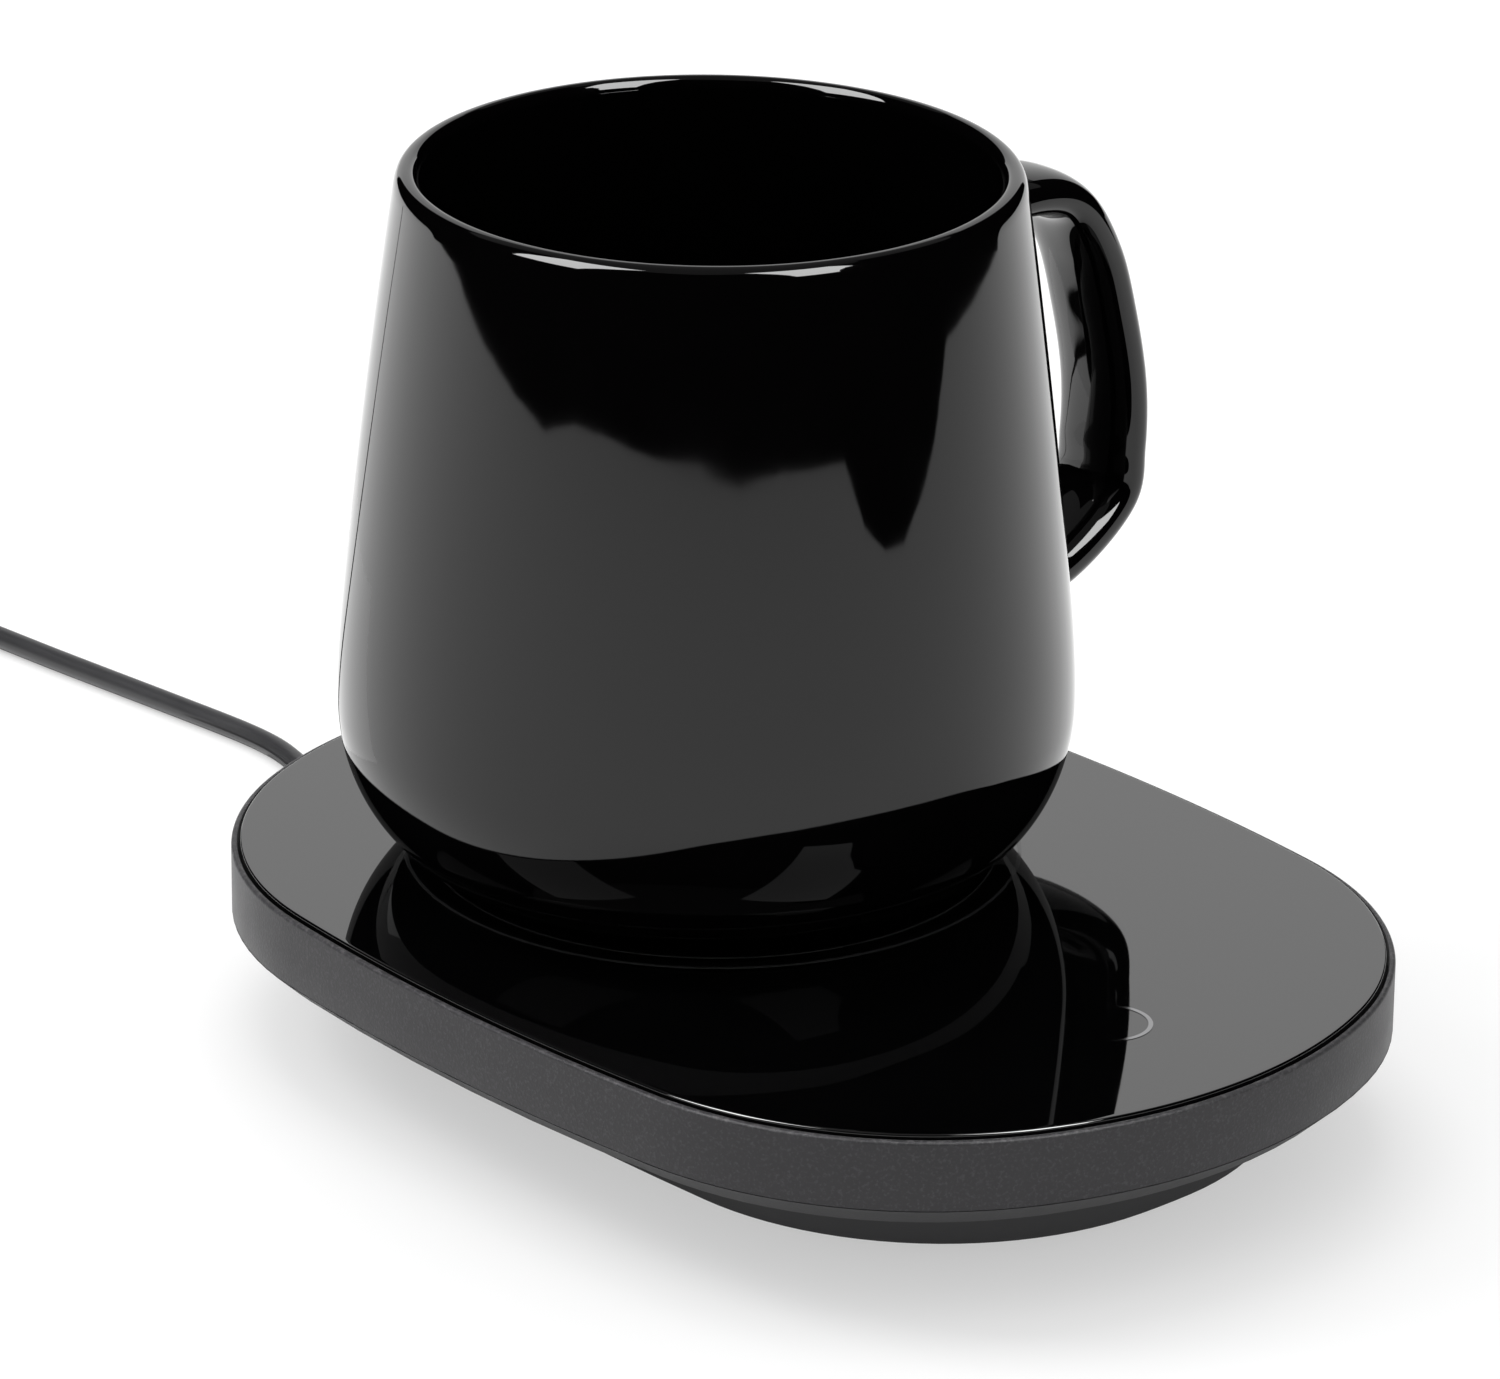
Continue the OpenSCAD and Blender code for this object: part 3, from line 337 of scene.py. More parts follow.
def cordPath(s):
    # the free stretch, then a flat spiral in on the lower layer and out on the upper one, then the tail
    route = catmull(s["route"], s["routeSteps"])
    run = np.linalg.norm(np.diff(route, axis=0), axis=1).sum()
    end = route[-1]
    middle = (s["length"] - run - (end[1] - s["plugY"])) / (2 * math.pi * s["turns"])
    outer = middle + (s["coilWidth"] - s["diameter"]) / 2 - s["slack"]
    centreX = end[0] - outer
    turn = np.linspace(0, s["turns"], int(s["turns"] * s["turnSteps"]) + 1)[1:]
    half = s["turns"] / 2
    radius = outer - s["pitch"] * (half - np.abs(turn - half))
    rise = np.clip((turn - half + s["crossTurns"] / 2) / s["crossTurns"], 0, 1)
    height = end[2] + (s["upperZ"] - end[2]) * rise * rise * (3 - 2 * rise)
    angle = 2 * math.pi * turn
    coil = np.stack([centreX + radius * np.cos(angle), end[1] + radius * np.sin(angle), height], -1)
    tailX = centreX - outer
    firstY, nextY = s["tailY"]
    tail = [(tailX, firstY, s["upperZ"]), (tailX, nextY, s["tailDrop"]),
            (tailX, s["plugY"] - s["plugGap"], s["plugZ"])]
    return np.vstack([route, coil, tail]), (centreX, end[1], middle)


def makeTie(t, coil):
    # a flat strap bent round the coil's section: a rounded rectangle in the upright plane of one radius
    a = np.linspace(0, 2 * math.pi, t["around"], endpoint=False) + math.pi / t["around"]
    half = np.array([t["width"] / 2 - t["corner"], t["height"] / 2 - t["corner"]])
    way = np.stack([np.cos(a), np.sin(a)], -1)
    rows = []
    for out, side in ((0, -1), (1, -1), (1, 1), (0, 1)):
        edge = np.sign(way) * half + way * (t["corner"] - t["thick"] * (1 - out))
        along = np.full(len(a), side * t["length"] / 2)
        rows.append(np.stack([edge[:, 0], along, edge[:, 1] + t["height"] / 2 + t["lift"]], -1))
    strap = np.stack(rows)
    wide, high, deep = t["head"]
    corners = np.array([(-1, -1), (1, -1), (1, 1), (-1, 1)], float)
    head = []
    for share, up in t["headRows"]:
        flat = corners * (wide / 2 * share, deep / 2 * share)
        head.append(np.column_stack([flat, np.full(4, t["height"] - t["headSunk"] + high * up)]))
    head = np.stack(head)
    angle = math.radians(t["turn"])
    out = np.array([math.cos(angle), math.sin(angle)])
    side = np.array([-out[1], out[0]])

    def place(p):
        flat = (coil[2] + p[..., :1]) * out + p[..., 1:2] * side + np.array(coil[:2])
        return np.concatenate([flat, p[..., 2:]], -1)

    shells = [shellArrays(place(strap), True), shellArrays(place(head))]
    return addPiece("coilTie", shells, "foot_rubber", "warmer", None, t["sharp"])


def makeCord(s, t):
    # a round bevelled curve through the path's points; the tie and the plug go with it
    path, coil = cordPath(s)
    tie = makeTie(t, coil)
    curve = bpy.data.curves.new("cordLine", "CURVE")
    curve.dimensions = "3D"
    curve.bevel_depth = s["diameter"] / 2 * mm
    curve.bevel_resolution = s["bevelSteps"]
    curve.use_fill_caps = True
    curve.resolution_u = s["curveSteps"]
    spline = curve.splines.new("BEZIER")
    spline.bezier_points.add(len(path) - 1)
    spline.bezier_points.foreach_set("co", (path * mm).ravel())
    for point in spline.bezier_points:
        point.handle_left_type = point.handle_right_type = "AUTO"
    curve.materials.append(materials["cord_rubber"])
    cord = bpy.data.objects.new("usbCord", curve)
    scene.collection.objects.link(cord)
    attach(cord, "warmer")
    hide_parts("cord", "cord_coil")
    plug = [nodes[n] for n in ("usb_overmould", "usb_shell", "usb_tongue", "usb_contacts")]
    for piece in (cord, tie, *plug):
        piece.visible_glossy = False  # the mug mirrors the straight line on the stage instead
    return cord


makeCord(cordShape, tieShape)
print("cord is laid")

mugShape = {
    "centre": (0, 20),
    "base": 25.5,
    "height": 94.38,
    "bellyRadius": 48.9,
    "rimRadius": 41.05,
    "bellyHeight": 26.5,
    "bulge": 0.46,
    "wall": 3.0,
    "rimWall": 3.2,
    "rimOut": (1.95, 2.8),
    "rimIn": (1.25, 1.4),
    "curveAcross": 17.21,
    "curveUp": 21.5,
    "innerUp": 22.5,
    "floorUp": 5.5,
    "footRadius": 35,
    "footWidth": 4,
    "footHollow": 2,
    "hollowEdge": ((-1.6, 0), (-0.6, 0.05), (-0.1, 0.4)),
    "footInside": ((0.15, 0.9), (0.35, 0.35), (0.7, 0.08), (1.2, 0)),
    "footOutside": ((-1.4, 0), (-0.7, 0.08)),
    "middles": (4, 14),
    "innerFlat": (8, 18),
    "joinShare": 0.2,
    "shareStep": 0.01,
    "rimPull": (0.6, 0.75, 0.85),
    "rimSteps": (14, 12),
    "curveSteps": 37,
    "joinSteps": 18,
    "sideSteps": 34,
    "innerSteps": 30,
    "innerJoinSteps": 14,
    "innerCurveSteps": 30,
    "around": 288,
    "sharp": 60,
}


def bend(start, startWay, end, endWay, steps):
    # the cubic Bezier curve between two points: it leaves along the first way and arrives along the other
    start, end = np.array(start, float), np.array(end, float)
    first, second = start + np.array(startWay, float), end - np.array(endWay, float)
    t = np.linspace(0, 1, steps + 1)[1:, None]
    return ((1 - t) ** 3 * start + 3 * t * (1 - t) ** 2 * first + 3 * t * t * (1 - t) * second
            + t ** 3 * end)


def blend(start, startSlope, end, endSlope, steps):
    # radius and height between two places, by the cubic that has both ends' slopes
    (r0, z0), (r1, z1) = start, end
    u = np.linspace(0, 1, steps)[1:]
    span = z1 - z0
    radius = ((2 * u ** 3 - 3 * u ** 2 + 1) * r0 + (u ** 3 - 2 * u ** 2 + u) * span * startSlope
              + (-2 * u ** 3 + 3 * u ** 2) * r1 + (u ** 3 - u ** 2) * span * endSlope)
    return np.stack([radius, z0 + span * u], -1)


def sideRadius(s, share):
    # the side tapers from belly to rim, with a slight bulge
    return (s["bellyRadius"] + (s["rimRadius"] - s["bellyRadius"]) * share
            + 4 * s["bulge"] * share * (1 - share))


def sideSpan(s):
    # the side's height, from the belly to half a wall's thickness below the rim
    return s["height"] - s["rimWall"] / 2 - s["bellyHeight"]


def sideHeight(s, share):
    # height above the foot at a share of the side
    return s["bellyHeight"] + sideSpan(s) * share


def shareAt(s, height):
    # and the share at a height
    return (height - s["bellyHeight"]) / sideSpan(s)


def outerWall(s):
    # the quarter oval from the foot to the belly, then the side up to the rim's outer shoulder
    curveX = s["bellyRadius"] - s["curveAcross"]
    footAngle = math.acos((s["footRadius"] - curveX) / s["curveAcross"])
    a = -footAngle * (1 - np.linspace(0, 1, s["curveSteps"]))
    curve = np.stack([curveX + s["curveAcross"] * np.cos(a), s["curveUp"] * (1 + np.sin(a))], -1)
    low, near = s["joinShare"], s["joinShare"] + s["shareStep"]
    end = (sideRadius(s, low), sideHeight(s, low))
    slope = (sideRadius(s, near) - end[0]) / (sideHeight(s, near) - end[1])
    join = blend((s["bellyRadius"], curve[-1][1]), 0, end, slope, s["joinSteps"])
    share = np.linspace(low, shareAt(s, s["height"] - s["rimOut"][1]), s["sideSteps"])[1:]
    side = np.stack([sideRadius(s, share), sideHeight(s, share)], -1)
    return np.vstack([curve, join, side])


def innerWall(s):
    # from the rim's inner shoulder down the side and round to the flat floor
    share = np.linspace(shareAt(s, s["height"] - s["rimIn"][1]), s["joinShare"], s["innerSteps"])
    wall = s["wall"] - (s["wall"] - s["rimWall"]) * share
    side = np.stack([sideRadius(s, share) - wall, sideHeight(s, share)], -1)
    curveX = s["bellyRadius"] - s["curveAcross"]
    across, up = s["curveAcross"] - s["wall"], s["innerUp"] - s["floorUp"]
    slope = (side[-1][0] - side[-2][0]) / (side[-1][1] - side[-2][1])
    join = blend(side[-1], slope, (curveX + across, s["innerUp"]), 0, s["innerJoinSteps"])
    a = -np.linspace(0, math.pi / 2, s["innerCurveSteps"])[1:]
    curve = np.stack([curveX + across * np.cos(a), s["innerUp"] + up * np.sin(a)], -1)
    flat = [(curveX - x, s["floorUp"]) for x in s["innerFlat"]] + [(s["middles"][0], s["floorUp"])]
    return np.vstack([side, join, curve, flat])


def rimCurve(s, outer, inner):
    # a flat-topped rim, its outer shoulder wider than its inner one
    (outX, outZ), (inX, inZ) = s["rimOut"], s["rimIn"]
    rise, over, back = s["rimPull"]
    outSteps, inSteps = s["rimSteps"]
    up = (outer[-1] - outer[-2]) / (outer[-1][1] - outer[-2][1])
    down = (inner[0] - inner[1]) / (inner[1][1] - inner[0][1])
    crown = (s["rimRadius"] - outX, s["height"])
    return np.vstack([bend(outer[-1], up * rise * outZ, crown, (-over * outX, 0), outSteps),
                      bend(crown, (-back * inX, 0), inner[0], down * -rise * inZ, inSteps)[:-1]])


def mugProfile(s):
    # outline of the wall as distance from the axis and height: foot, outside, rim and inside
    inFoot = s["footRadius"] - s["footWidth"]
    foot = ([(x, s["footHollow"]) for x in s["middles"]]
            + [(inFoot + x, s["footHollow"] - z) for x, z in s["hollowEdge"]]
            + [(inFoot + x, z) for x, z in s["footInside"]]
            + [(s["footRadius"] + x, z) for x, z in s["footOutside"]])
    outer, inner = outerWall(s), innerWall(s)
    return np.vstack([foot, outer, rimCurve(s, outer, inner), inner]), outer


handleShape = {
    "line": [(41.2, 79.5), (53.7, 80), (61.3, 77.3), (66.6, 69.5), (69.8, 59.7), (72, 49.4), (72.2, 40.3),
             (70.6, 32.8), (60.3, 25.7), (46.9, 22.8)],
    "width": 14.8,
    "depth": 6.3,
    "grow": 0.3,
    "square": 0.85,
    "growRate": 2.2,
    "sides": 64,
    "steps": 14,
    "clear": 4,
    "fillet": 2.6,
    "filletRings": 14,
    "sunk": (1.2, 0.3),
    "reach": (-2, 30),
    "halvings": 40,
}


def handleRings(s, wall):
    # a tube along the middle line, its section a squared-off ellipse; each end runs out onto the wall
    # in a curved flare, and its last rings are sunk in the wall
    line = catmull(s["line"], s["steps"])
    share = np.linspace(0, 1, len(line))
    tangent = np.gradient(line, axis=0)
    tangent /= np.linalg.norm(tangent, axis=1)[:, None]
    across = np.stack([tangent[:, 1], -tangent[:, 0]], -1)
    outside = line[:, 0] - np.interp(line[:, 1], wall[:, 1], wall[:, 0])
    keep = np.flatnonzero(outside > s["clear"])
    half = s["depth"] / 2 + s["grow"] * np.minimum(1, s["growRate"] * share)
    a = np.linspace(0, 2 * math.pi, s["sides"], endpoint=False)
    alongDepth = np.sign(np.cos(a)) * np.abs(np.cos(a)) ** s["square"]
    alongWidth = np.sign(np.sin(a)) * np.abs(np.sin(a)) ** s["square"]

    def ringAt(i, extra=0):
        x = line[i][:, None] + across[i][:, None] * ((half[i] + extra) * alongDepth)[None, :]
        return np.stack([x[0], (s["width"] / 2 + extra) * alongWidth, x[1]], -1)

    def hit(points, way):
        # where lines from the points along the way meet the wall, by halving the distance
        near, far = (np.full(len(points), float(end)) for end in s["reach"])
        for _ in range(s["halvings"]):
            t = (near + far) / 2
            q = points + t[:, None] * way
            out = np.hypot(q[:, 0], q[:, 1]) > np.interp(q[:, 2], wall[:, 1], wall[:, 0])
            near, far = np.where(out, t, near), np.where(out, far, t)
        return points + near[:, None] * way

    def wallNormal(q):
        slope = np.gradient(wall[:, 0], wall[:, 1])
        lean = np.interp(q[:, 2], wall[:, 1], slope)
        out = np.hypot(q[:, 0], q[:, 1])
        n = np.stack([q[:, 0] / out, q[:, 1] / out, -lean], -1)
        return n / np.linalg.norm(n, axis=1)[:, None]

    def runOut(i, way):
        start, wide = ringAt(i), ringAt(i, s["fillet"])
        foot = hit(wide, way)
        n = wallNormal(foot)
        reach = ((foot - start) * n).sum(1) / (n @ way)
        corner = start + reach[:, None] * way
        t = np.linspace(0, 1, s["filletRings"] + 1)[1:, None, None]
        rings = (1 - t) ** 2 * start + 2 * t * (1 - t) * corner + t ** 2 * foot
        middle = foot.mean(0)
        first, second = s["sunk"]
        sunk = foot - first * n
        return np.concatenate([rings, sunk[None], ((sunk + middle) / 2 - second * n)[None]])

    first, last = keep[0], keep[-1]
    top = runOut(first, np.array([-tangent[first][0], 0, -tangent[first][1]]))
    low = runOut(last, np.array([tangent[last][0], 0, tangent[last][1]]))
    tube = np.stack([ringAt(i) for i in range(first, last + 1)])
    return np.concatenate([top[::-1], tube, low])


def makeMug(s, handle):
    # the wall's outline turned round the upright axis, and the handle run into it
    profile, wall = mugProfile(s)
    angle = np.linspace(0, 2 * math.pi, s["around"], endpoint=False)
    rings = np.stack([
        profile[:, :1] * np.cos(angle)[None, :],
        profile[:, :1] * np.sin(angle)[None, :],
        np.repeat(profile[:, 1:], len(angle), 1),
    ], -1)
    shift = np.array([*s["centre"], s["base"]])
    body = shellArrays(rings + shift)
    loop = shellArrays(handleRings(handle, wall) + shift)
    return addPiece("glazedMug", [body, loop], "mug_glaze", "mug", ["mug"], s["sharp"])


makeMug(mugShape, handleShape)
print("mug is thrown")

standShape = {
    "length": 165.1,
    "width": 120.65,
    "sideRadius": 320,
    "endRadius": 70,
    "cornerRadius": 51,
    "arcSteps": (26, 48, 30),
    "seam": 15.4,
    "lip": 24.9,
    "lipWidth": 0.8,
    "lipRound": 0.5,
    "lipRoundSteps": 8,
    "wall": 2.4,
    "deckLow": 20,
    "deck": 22,
    "glass": 22.4,
    "top": 25.4,
    "glassIn": 1.2,
    "glassRound": 0.3,
    "glassRoundSteps": 12,
    "glassUnder": (0.3, 0.08),
    "glassFlat": 0.5,
    "glassRows": (0.5, 0.95, 0.98),
}


def ovalOutline(s):
    # points and outward directions round an oval of tangent arcs: a quarter, then its mirror images
    sx = s["width"] / 2 - s["sideRadius"]
    ey = s["length"] / 2 - s["endRadius"]
    toSide, toEnd = s["sideRadius"] - s["cornerRadius"], s["endRadius"] - s["cornerRadius"]
    span = math.hypot(sx, ey)
    along = (toSide ** 2 - toEnd ** 2 + span ** 2) / (2 * span)
    off = math.sqrt(toSide ** 2 - along ** 2)
    cx = sx - (along * sx + off * ey) / span
    cy = (along * ey - off * sx) / span
    a1, a2 = math.atan2(cy, cx - sx), math.atan2(cy - ey, cx)
    steps = s["arcSteps"]
    arcs = [
        (sx, 0, s["sideRadius"], np.linspace(0, a1, steps[0] // 2 + 1)[:-1]),
        (cx, cy, s["cornerRadius"], np.linspace(a1, a2, steps[1] + 1)[:-1]),
        (0, ey, s["endRadius"], np.linspace(a2, math.pi / 2, steps[2] // 2 + 1)[:-1]),
    ]
    points = np.vstack([np.stack([x + r * np.cos(a), y + r * np.sin(a)], -1) for x, y, r, a in arcs])
    ways = np.vstack([np.stack([np.cos(a), np.sin(a)], -1) for x, y, r, a in arcs])
    flipX = np.array([-1, 1])
    top = np.array([[0, s["length"] / 2]])
    points = np.vstack([points, top, points[:0:-1] * flipX])
    ways = np.vstack([ways, [[0, 1]], ways[:0:-1] * flipX])
    return np.vstack([points, -points]), np.vstack([ways, -ways])


standPoints, standWays = ovalOutline(standShape)


def ovalRings(points, ways, profile):
    # the outline moved inwards by each profile row's first number, at its second, and drawn
    # towards the middle by its third
    inset, height, share = (np.array(c, float)[:, None] for c in zip(*profile))
    x = (points[None, :, 0] - inset * ways[None, :, 0]) * share
    y = (points[None, :, 1] - inset * ways[None, :, 1]) * share
    return np.stack([x, y, np.broadcast_to(height, x.shape)], -1)


def roundEdge(radius, inset, top, steps):
    # quarter circle from an upright edge to a flat top
    a = np.linspace(0, math.pi / 2, steps + 1)
    return [(inset + radius * (1 - math.cos(x)), top - radius * (1 - math.sin(x)), 1) for x in a]


shellShape = {
    "holes": (((0, 18.5), 42), ((0, -57.8), 9)),
    "deckEdge": 7,
    "lipCorner": ((0, 0.14), (0.03, 0.04), (0.12, 0)),
    "seamCorner": ((0, 0.25), (0.07, 0.07), (0.25, 0)),
    "bandRow": 4.6,
    "holeSteps": 128,
    "bossRadius": 3,
    "boreRadius": 1.25,
    "bossTop": 21,
    "boreTop": 20.9,
    "boreInner": 0.3,
    "bossCorner": 0.3,
    "boreCorner": 0.2,
    "bossSteps": 32,
    "caseBosses": [(50.26, 32), (-50.26, 32), (50.26, -32), (-50.26, -32), (0, -73.63), (24, 70.03),
                   (-24, 70.03)],
    "bracketBossTurns": (90, 210, 330),
    "bracketBossRing": 47.5,
    "bracketBossLow": 18,
}


def circlePoints(centre, radius, around):
    # evenly spaced points round a circle
    a = np.linspace(0, 2 * math.pi, around, endpoint=False)
    return np.stack([centre[0] + radius * np.cos(a), centre[1] + radius * np.sin(a)], -1)


def deckShell(s, d):
    # one closed skin: the band's section swept round the oval from the deck's top over the lip, down and
    # back in to the deck's underside, then both faces of the deck with its round holes
    inLip = s["lipWidth"]
    low, high = s["deckLow"], s["deck"]
    lip = roundEdge(s["lipRound"], 0, s["lip"], s["lipRoundSteps"])
    profile = [
        (d["deckEdge"], high, 1), (inLip, high, 1),
        *((inLip - x, s["lip"] - z, 1) for x, z in d["lipCorner"]), *lip[::-1],
        (0, s["seam"] + d["bandRow"], 1),
        *((x, s["seam"] + z, 1) for x, z in d["seamCorner"]),
        (s["wall"], s["seam"], 1), (s["wall"], low, 1), (d["deckEdge"], low, 1),
    ]
    rows = ovalRings(standPoints, standWays, profile)
    around = rows.shape[1]
    faces = gridQuads(len(rows), around, False)[:, ::-1].tolist()
    loops = [circlePoints(c, r, d["holeSteps"]) for c, r in d["holes"]]
    points = [rows.reshape(-1, 3)]
    count = len(points[0])
    starts = []
    for loop in loops:
        for z in (high, low):
            points.append(np.column_stack([loop, np.full(len(loop), z)]))
        starts.append(count)
        k = np.arange(len(loop))
        follow = (k + 1) % len(loop)
        top, under = count + k, count + len(loop) + k
        faces += np.stack([top, count + follow, count + len(loop) + follow, under], -1).tolist()
        count += 2 * len(loop)
    for row, shift in ((0, 0), (len(rows) - 1, 1)):
        outlines = [rows[row, :, :2], *loops]
        index = np.concatenate([np.arange(around) + row * around]
                               + [start + shift * len(loop) + np.arange(len(loop))
                                  for start, loop in zip(starts, loops)])
        flat = np.vstack(outlines)
        for a, b, c in tessellate_polygon([[Vector((*q, 0)) for q in outline] for outline in outlines]):
            turn = np.cross(flat[b] - flat[a], flat[c] - flat[a])
            if (turn > 0) == (row > 0):
                b, c = c, b
            faces.append([int(index[a]), int(index[b]), int(index[c])])
    return np.vstack(points), faces


def turnedShell(profile, centre, around):
    # a turned solid about an upright axis; its profile is distance from the axis and height
    profile = np.array(profile, float)
    a = np.linspace(0, 2 * math.pi, around, endpoint=False)
    x = centre[0] + profile[:, :1] * np.cos(a)
    y = centre[1] + profile[:, :1] * np.sin(a)
    return shellArrays(np.stack([x, y, np.broadcast_to(profile[:, 1:], x.shape)], -1))


def makeTopShell(s, d):
    # the skin, with hollow screw bosses under its deck
    shells = [deckShell(s, d)]
    zone = d["holes"][0][0]
    spots = [(p, s["seam"]) for p in d["caseBosses"]]
    for turn in d["bracketBossTurns"]:
        a = math.radians(turn)
        spots.append(((zone[0] + d["bracketBossRing"] * math.cos(a),
                       zone[1] + d["bracketBossRing"] * math.sin(a)), d["bracketBossLow"]))
    outer, bore, edge, mouth = d["bossRadius"], d["boreRadius"], d["bossCorner"], d["boreCorner"]
    for place, low in spots:
        profile = [(outer / 2, d["bossTop"]), (outer, d["bossTop"]),
                   (outer, low + edge), (outer - edge, low), (bore + mouth, low), (bore, low + mouth),
                   (bore, d["boreTop"]), (d["boreInner"], d["boreTop"])]
        shells.append(turnedShell(profile, place, d["bossSteps"]))
    return addPiece("bandShell", shells, "band_plastic", "warmer", ["top_shell"])


def makeGlass(s):
    # a plate in the oval's outline: bevelled below, rounded above, flat on both faces
    edge, low, (under, bevel) = s["glassIn"], s["glass"], s["glassUnder"]
    flat = edge + s["glassRound"] + s["glassFlat"]
    middle, above, below = s["glassRows"]
    profile = [
        (edge + under, low, middle), (edge + under, low, below), (edge + under, low, 1),
        (edge + bevel, low + bevel, 1), (edge, low + under, 1),
        *roundEdge(s["glassRound"], edge, s["top"], s["glassRoundSteps"]),
        (flat, s["top"], 1), (flat, s["top"], above), (flat, s["top"], middle),
    ]
    plate = shellArrays(ovalRings(standPoints, standWays, profile))
    return addPiece("glassPlate", [plate], "black_glass", "warmer", ["glass_top"])


def flatRing(radius, line, centre, low, thick, around):
    # a thin band with a right-angled section round a circle
    a = np.linspace(0, 2 * math.pi, around, endpoint=False)
    corners = [(radius - line / 2, low), (radius + line / 2, low),
               (radius + line / 2, low + thick), (radius - line / 2, low + thick)]
    rows = [np.stack([centre[0] + r * np.cos(a), centre[1] + r * np.sin(a), np.full(around, z)], -1)
            for r, z in corners]
    return shellArrays(np.stack(rows), True)


printShape = {
    "zone": (0, 18.5),
    "zoneRings": ((41, 0.5), (37.8, 0.3)),
    "zoneSteps": 256,
    "touch": (0, -57.8),
    "touchRing": (5.3, 0.6),
    "touchSteps": 128,
    "thick": 0.06,
}


def makePrints(s):
    # two rings round the warming zone and one round the touch mark, laid on the glass
    low, thick = standShape["top"], s["thick"]
    rings = [flatRing(r, line, s["zone"], low, thick, s["zoneSteps"]) for r, line in s["zoneRings"]]
    addPiece("zoneRings", rings, "zone_enamel", "warmer", ["zone_print"])
    ring = flatRing(*s["touchRing"], s["touch"], low, thick, s["touchSteps"])
    addPiece("touchRing", [ring], "touch_enamel", "warmer", ["touch_print"])


makeTopShell(standShape, shellShape)
makeGlass(standShape)
makePrints(printShape)
print("stand is built")

# in metres; the wall line's pairs are an angle from the camera's side, in degrees, and a distance
studio = {
    "floorSize": 8,
    "floorColor": (0.93, 0.93, 0.93),
    "floorRoughness": 0.9,
    "floorWhite": 0.5,
    "floorSecond": 0.65,
    "worldLight": 0.86,
    "worldSecond": 0.2,
    "wallLight": 0.001,
    "wallTop": 1.6,
    "wallLow": 0.0005,
    "wallMiddle": 0.02,
    "wallPoints": 233,
    "wallLine": [(-155, 1.4), (-118, 1.4), (-112, 0.72), (-95, 0.775), (-64, 0.8), (-54, 0.8), (-44, 0.9),
                 (-35, 0.945), (-18, 0.943), (-3, 0.94), (10, 0.86), (23, 0.875), (44, 0.79), (49.5, 0.6),
                 (56, 0.53), (63, 0.515), (72, 0.57), (77, 0.61), (86, 0.75), (120, 0.6), (126, 1.4),
                 (155, 1.4)],
    "ceilingHeight": 1.4,
    "ceilingHalf": 1.5,
    "ceilingLight": 0.2,
    "lineRoute": [(0, 0.088), (0.004, 0.103), (0.01, 0.12), (0.0125, 0.15), (0.012, 0.25), (0.012, 0.4),
                  (0.011, 0.55), (0.01, 0.75)],
    "lineWidth": 0.0046,
    "lineLight": 0.01,
    "lineHeight": 0.0016,
    # a glowing plate, seen in reflections alone, that paints lit floor over the coil and its shadow
    "paintedLitFloor": (-0.07, 0.06, 0.128, 0.26),
    "plainHeight": 0.0006,
    "paintedFloorGlow": 1.45,
    "target": (0, 0.02, 0.1),
    "cards": {"cardLeft": {"azimuth": -62, "width": 0.33, "second": 1.6},
              "cardRight": {"azimuth": 44, "width": 0.3, "second": 2.6}},
    "cardHeight": 0.5,
    "cardElevation": 45,
    "cardDistance": 0.7,
    "cardLight": 14,
    "lamps": {
        "softboxTop": {"place": (0.35, 0.7, 1.7), "target": (0, 0.02, 0.05), "size": 1.2, "power": 12},
        "softboxBack": {"place": (-0.5, 0.9, 0.9), "target": (-0.1, 0.3, 0), "size": 0.5, "power": 6},
    },
}


def emissionMaterial(name, strength, second=None):
    # the second strength is the one that shows in the mirror image of a mirror image
    material = bpy.data.materials.new(name)
    material.use_nodes = True
    tree = material.node_tree
    tree.nodes.clear()
    glow = tree.nodes.new("ShaderNodeEmission")
    glow.inputs["Color"].default_value = (1, 1, 1, 1)
    glow.inputs["Strength"].default_value = strength
    if second is not None:
        path = tree.nodes.new("ShaderNodeLightPath")
        tree.links.new(rangeNode(tree, path.outputs["Ray Depth"], strength, second, 1, 2),
                       glow.inputs["Strength"])
    out = tree.nodes.new("ShaderNodeOutputMaterial")
    tree.links.new(glow.outputs["Emission"], out.inputs["Surface"])
    return material


def stageMesh(name, points, faces, material):
    mesh = bpy.data.meshes.new(name)
    mesh.from_pydata(points, [], faces)
    mesh.materials.append(material)
    obj = bpy.data.objects.new(name, mesh)
    scene.collection.objects.link(obj)
    return obj


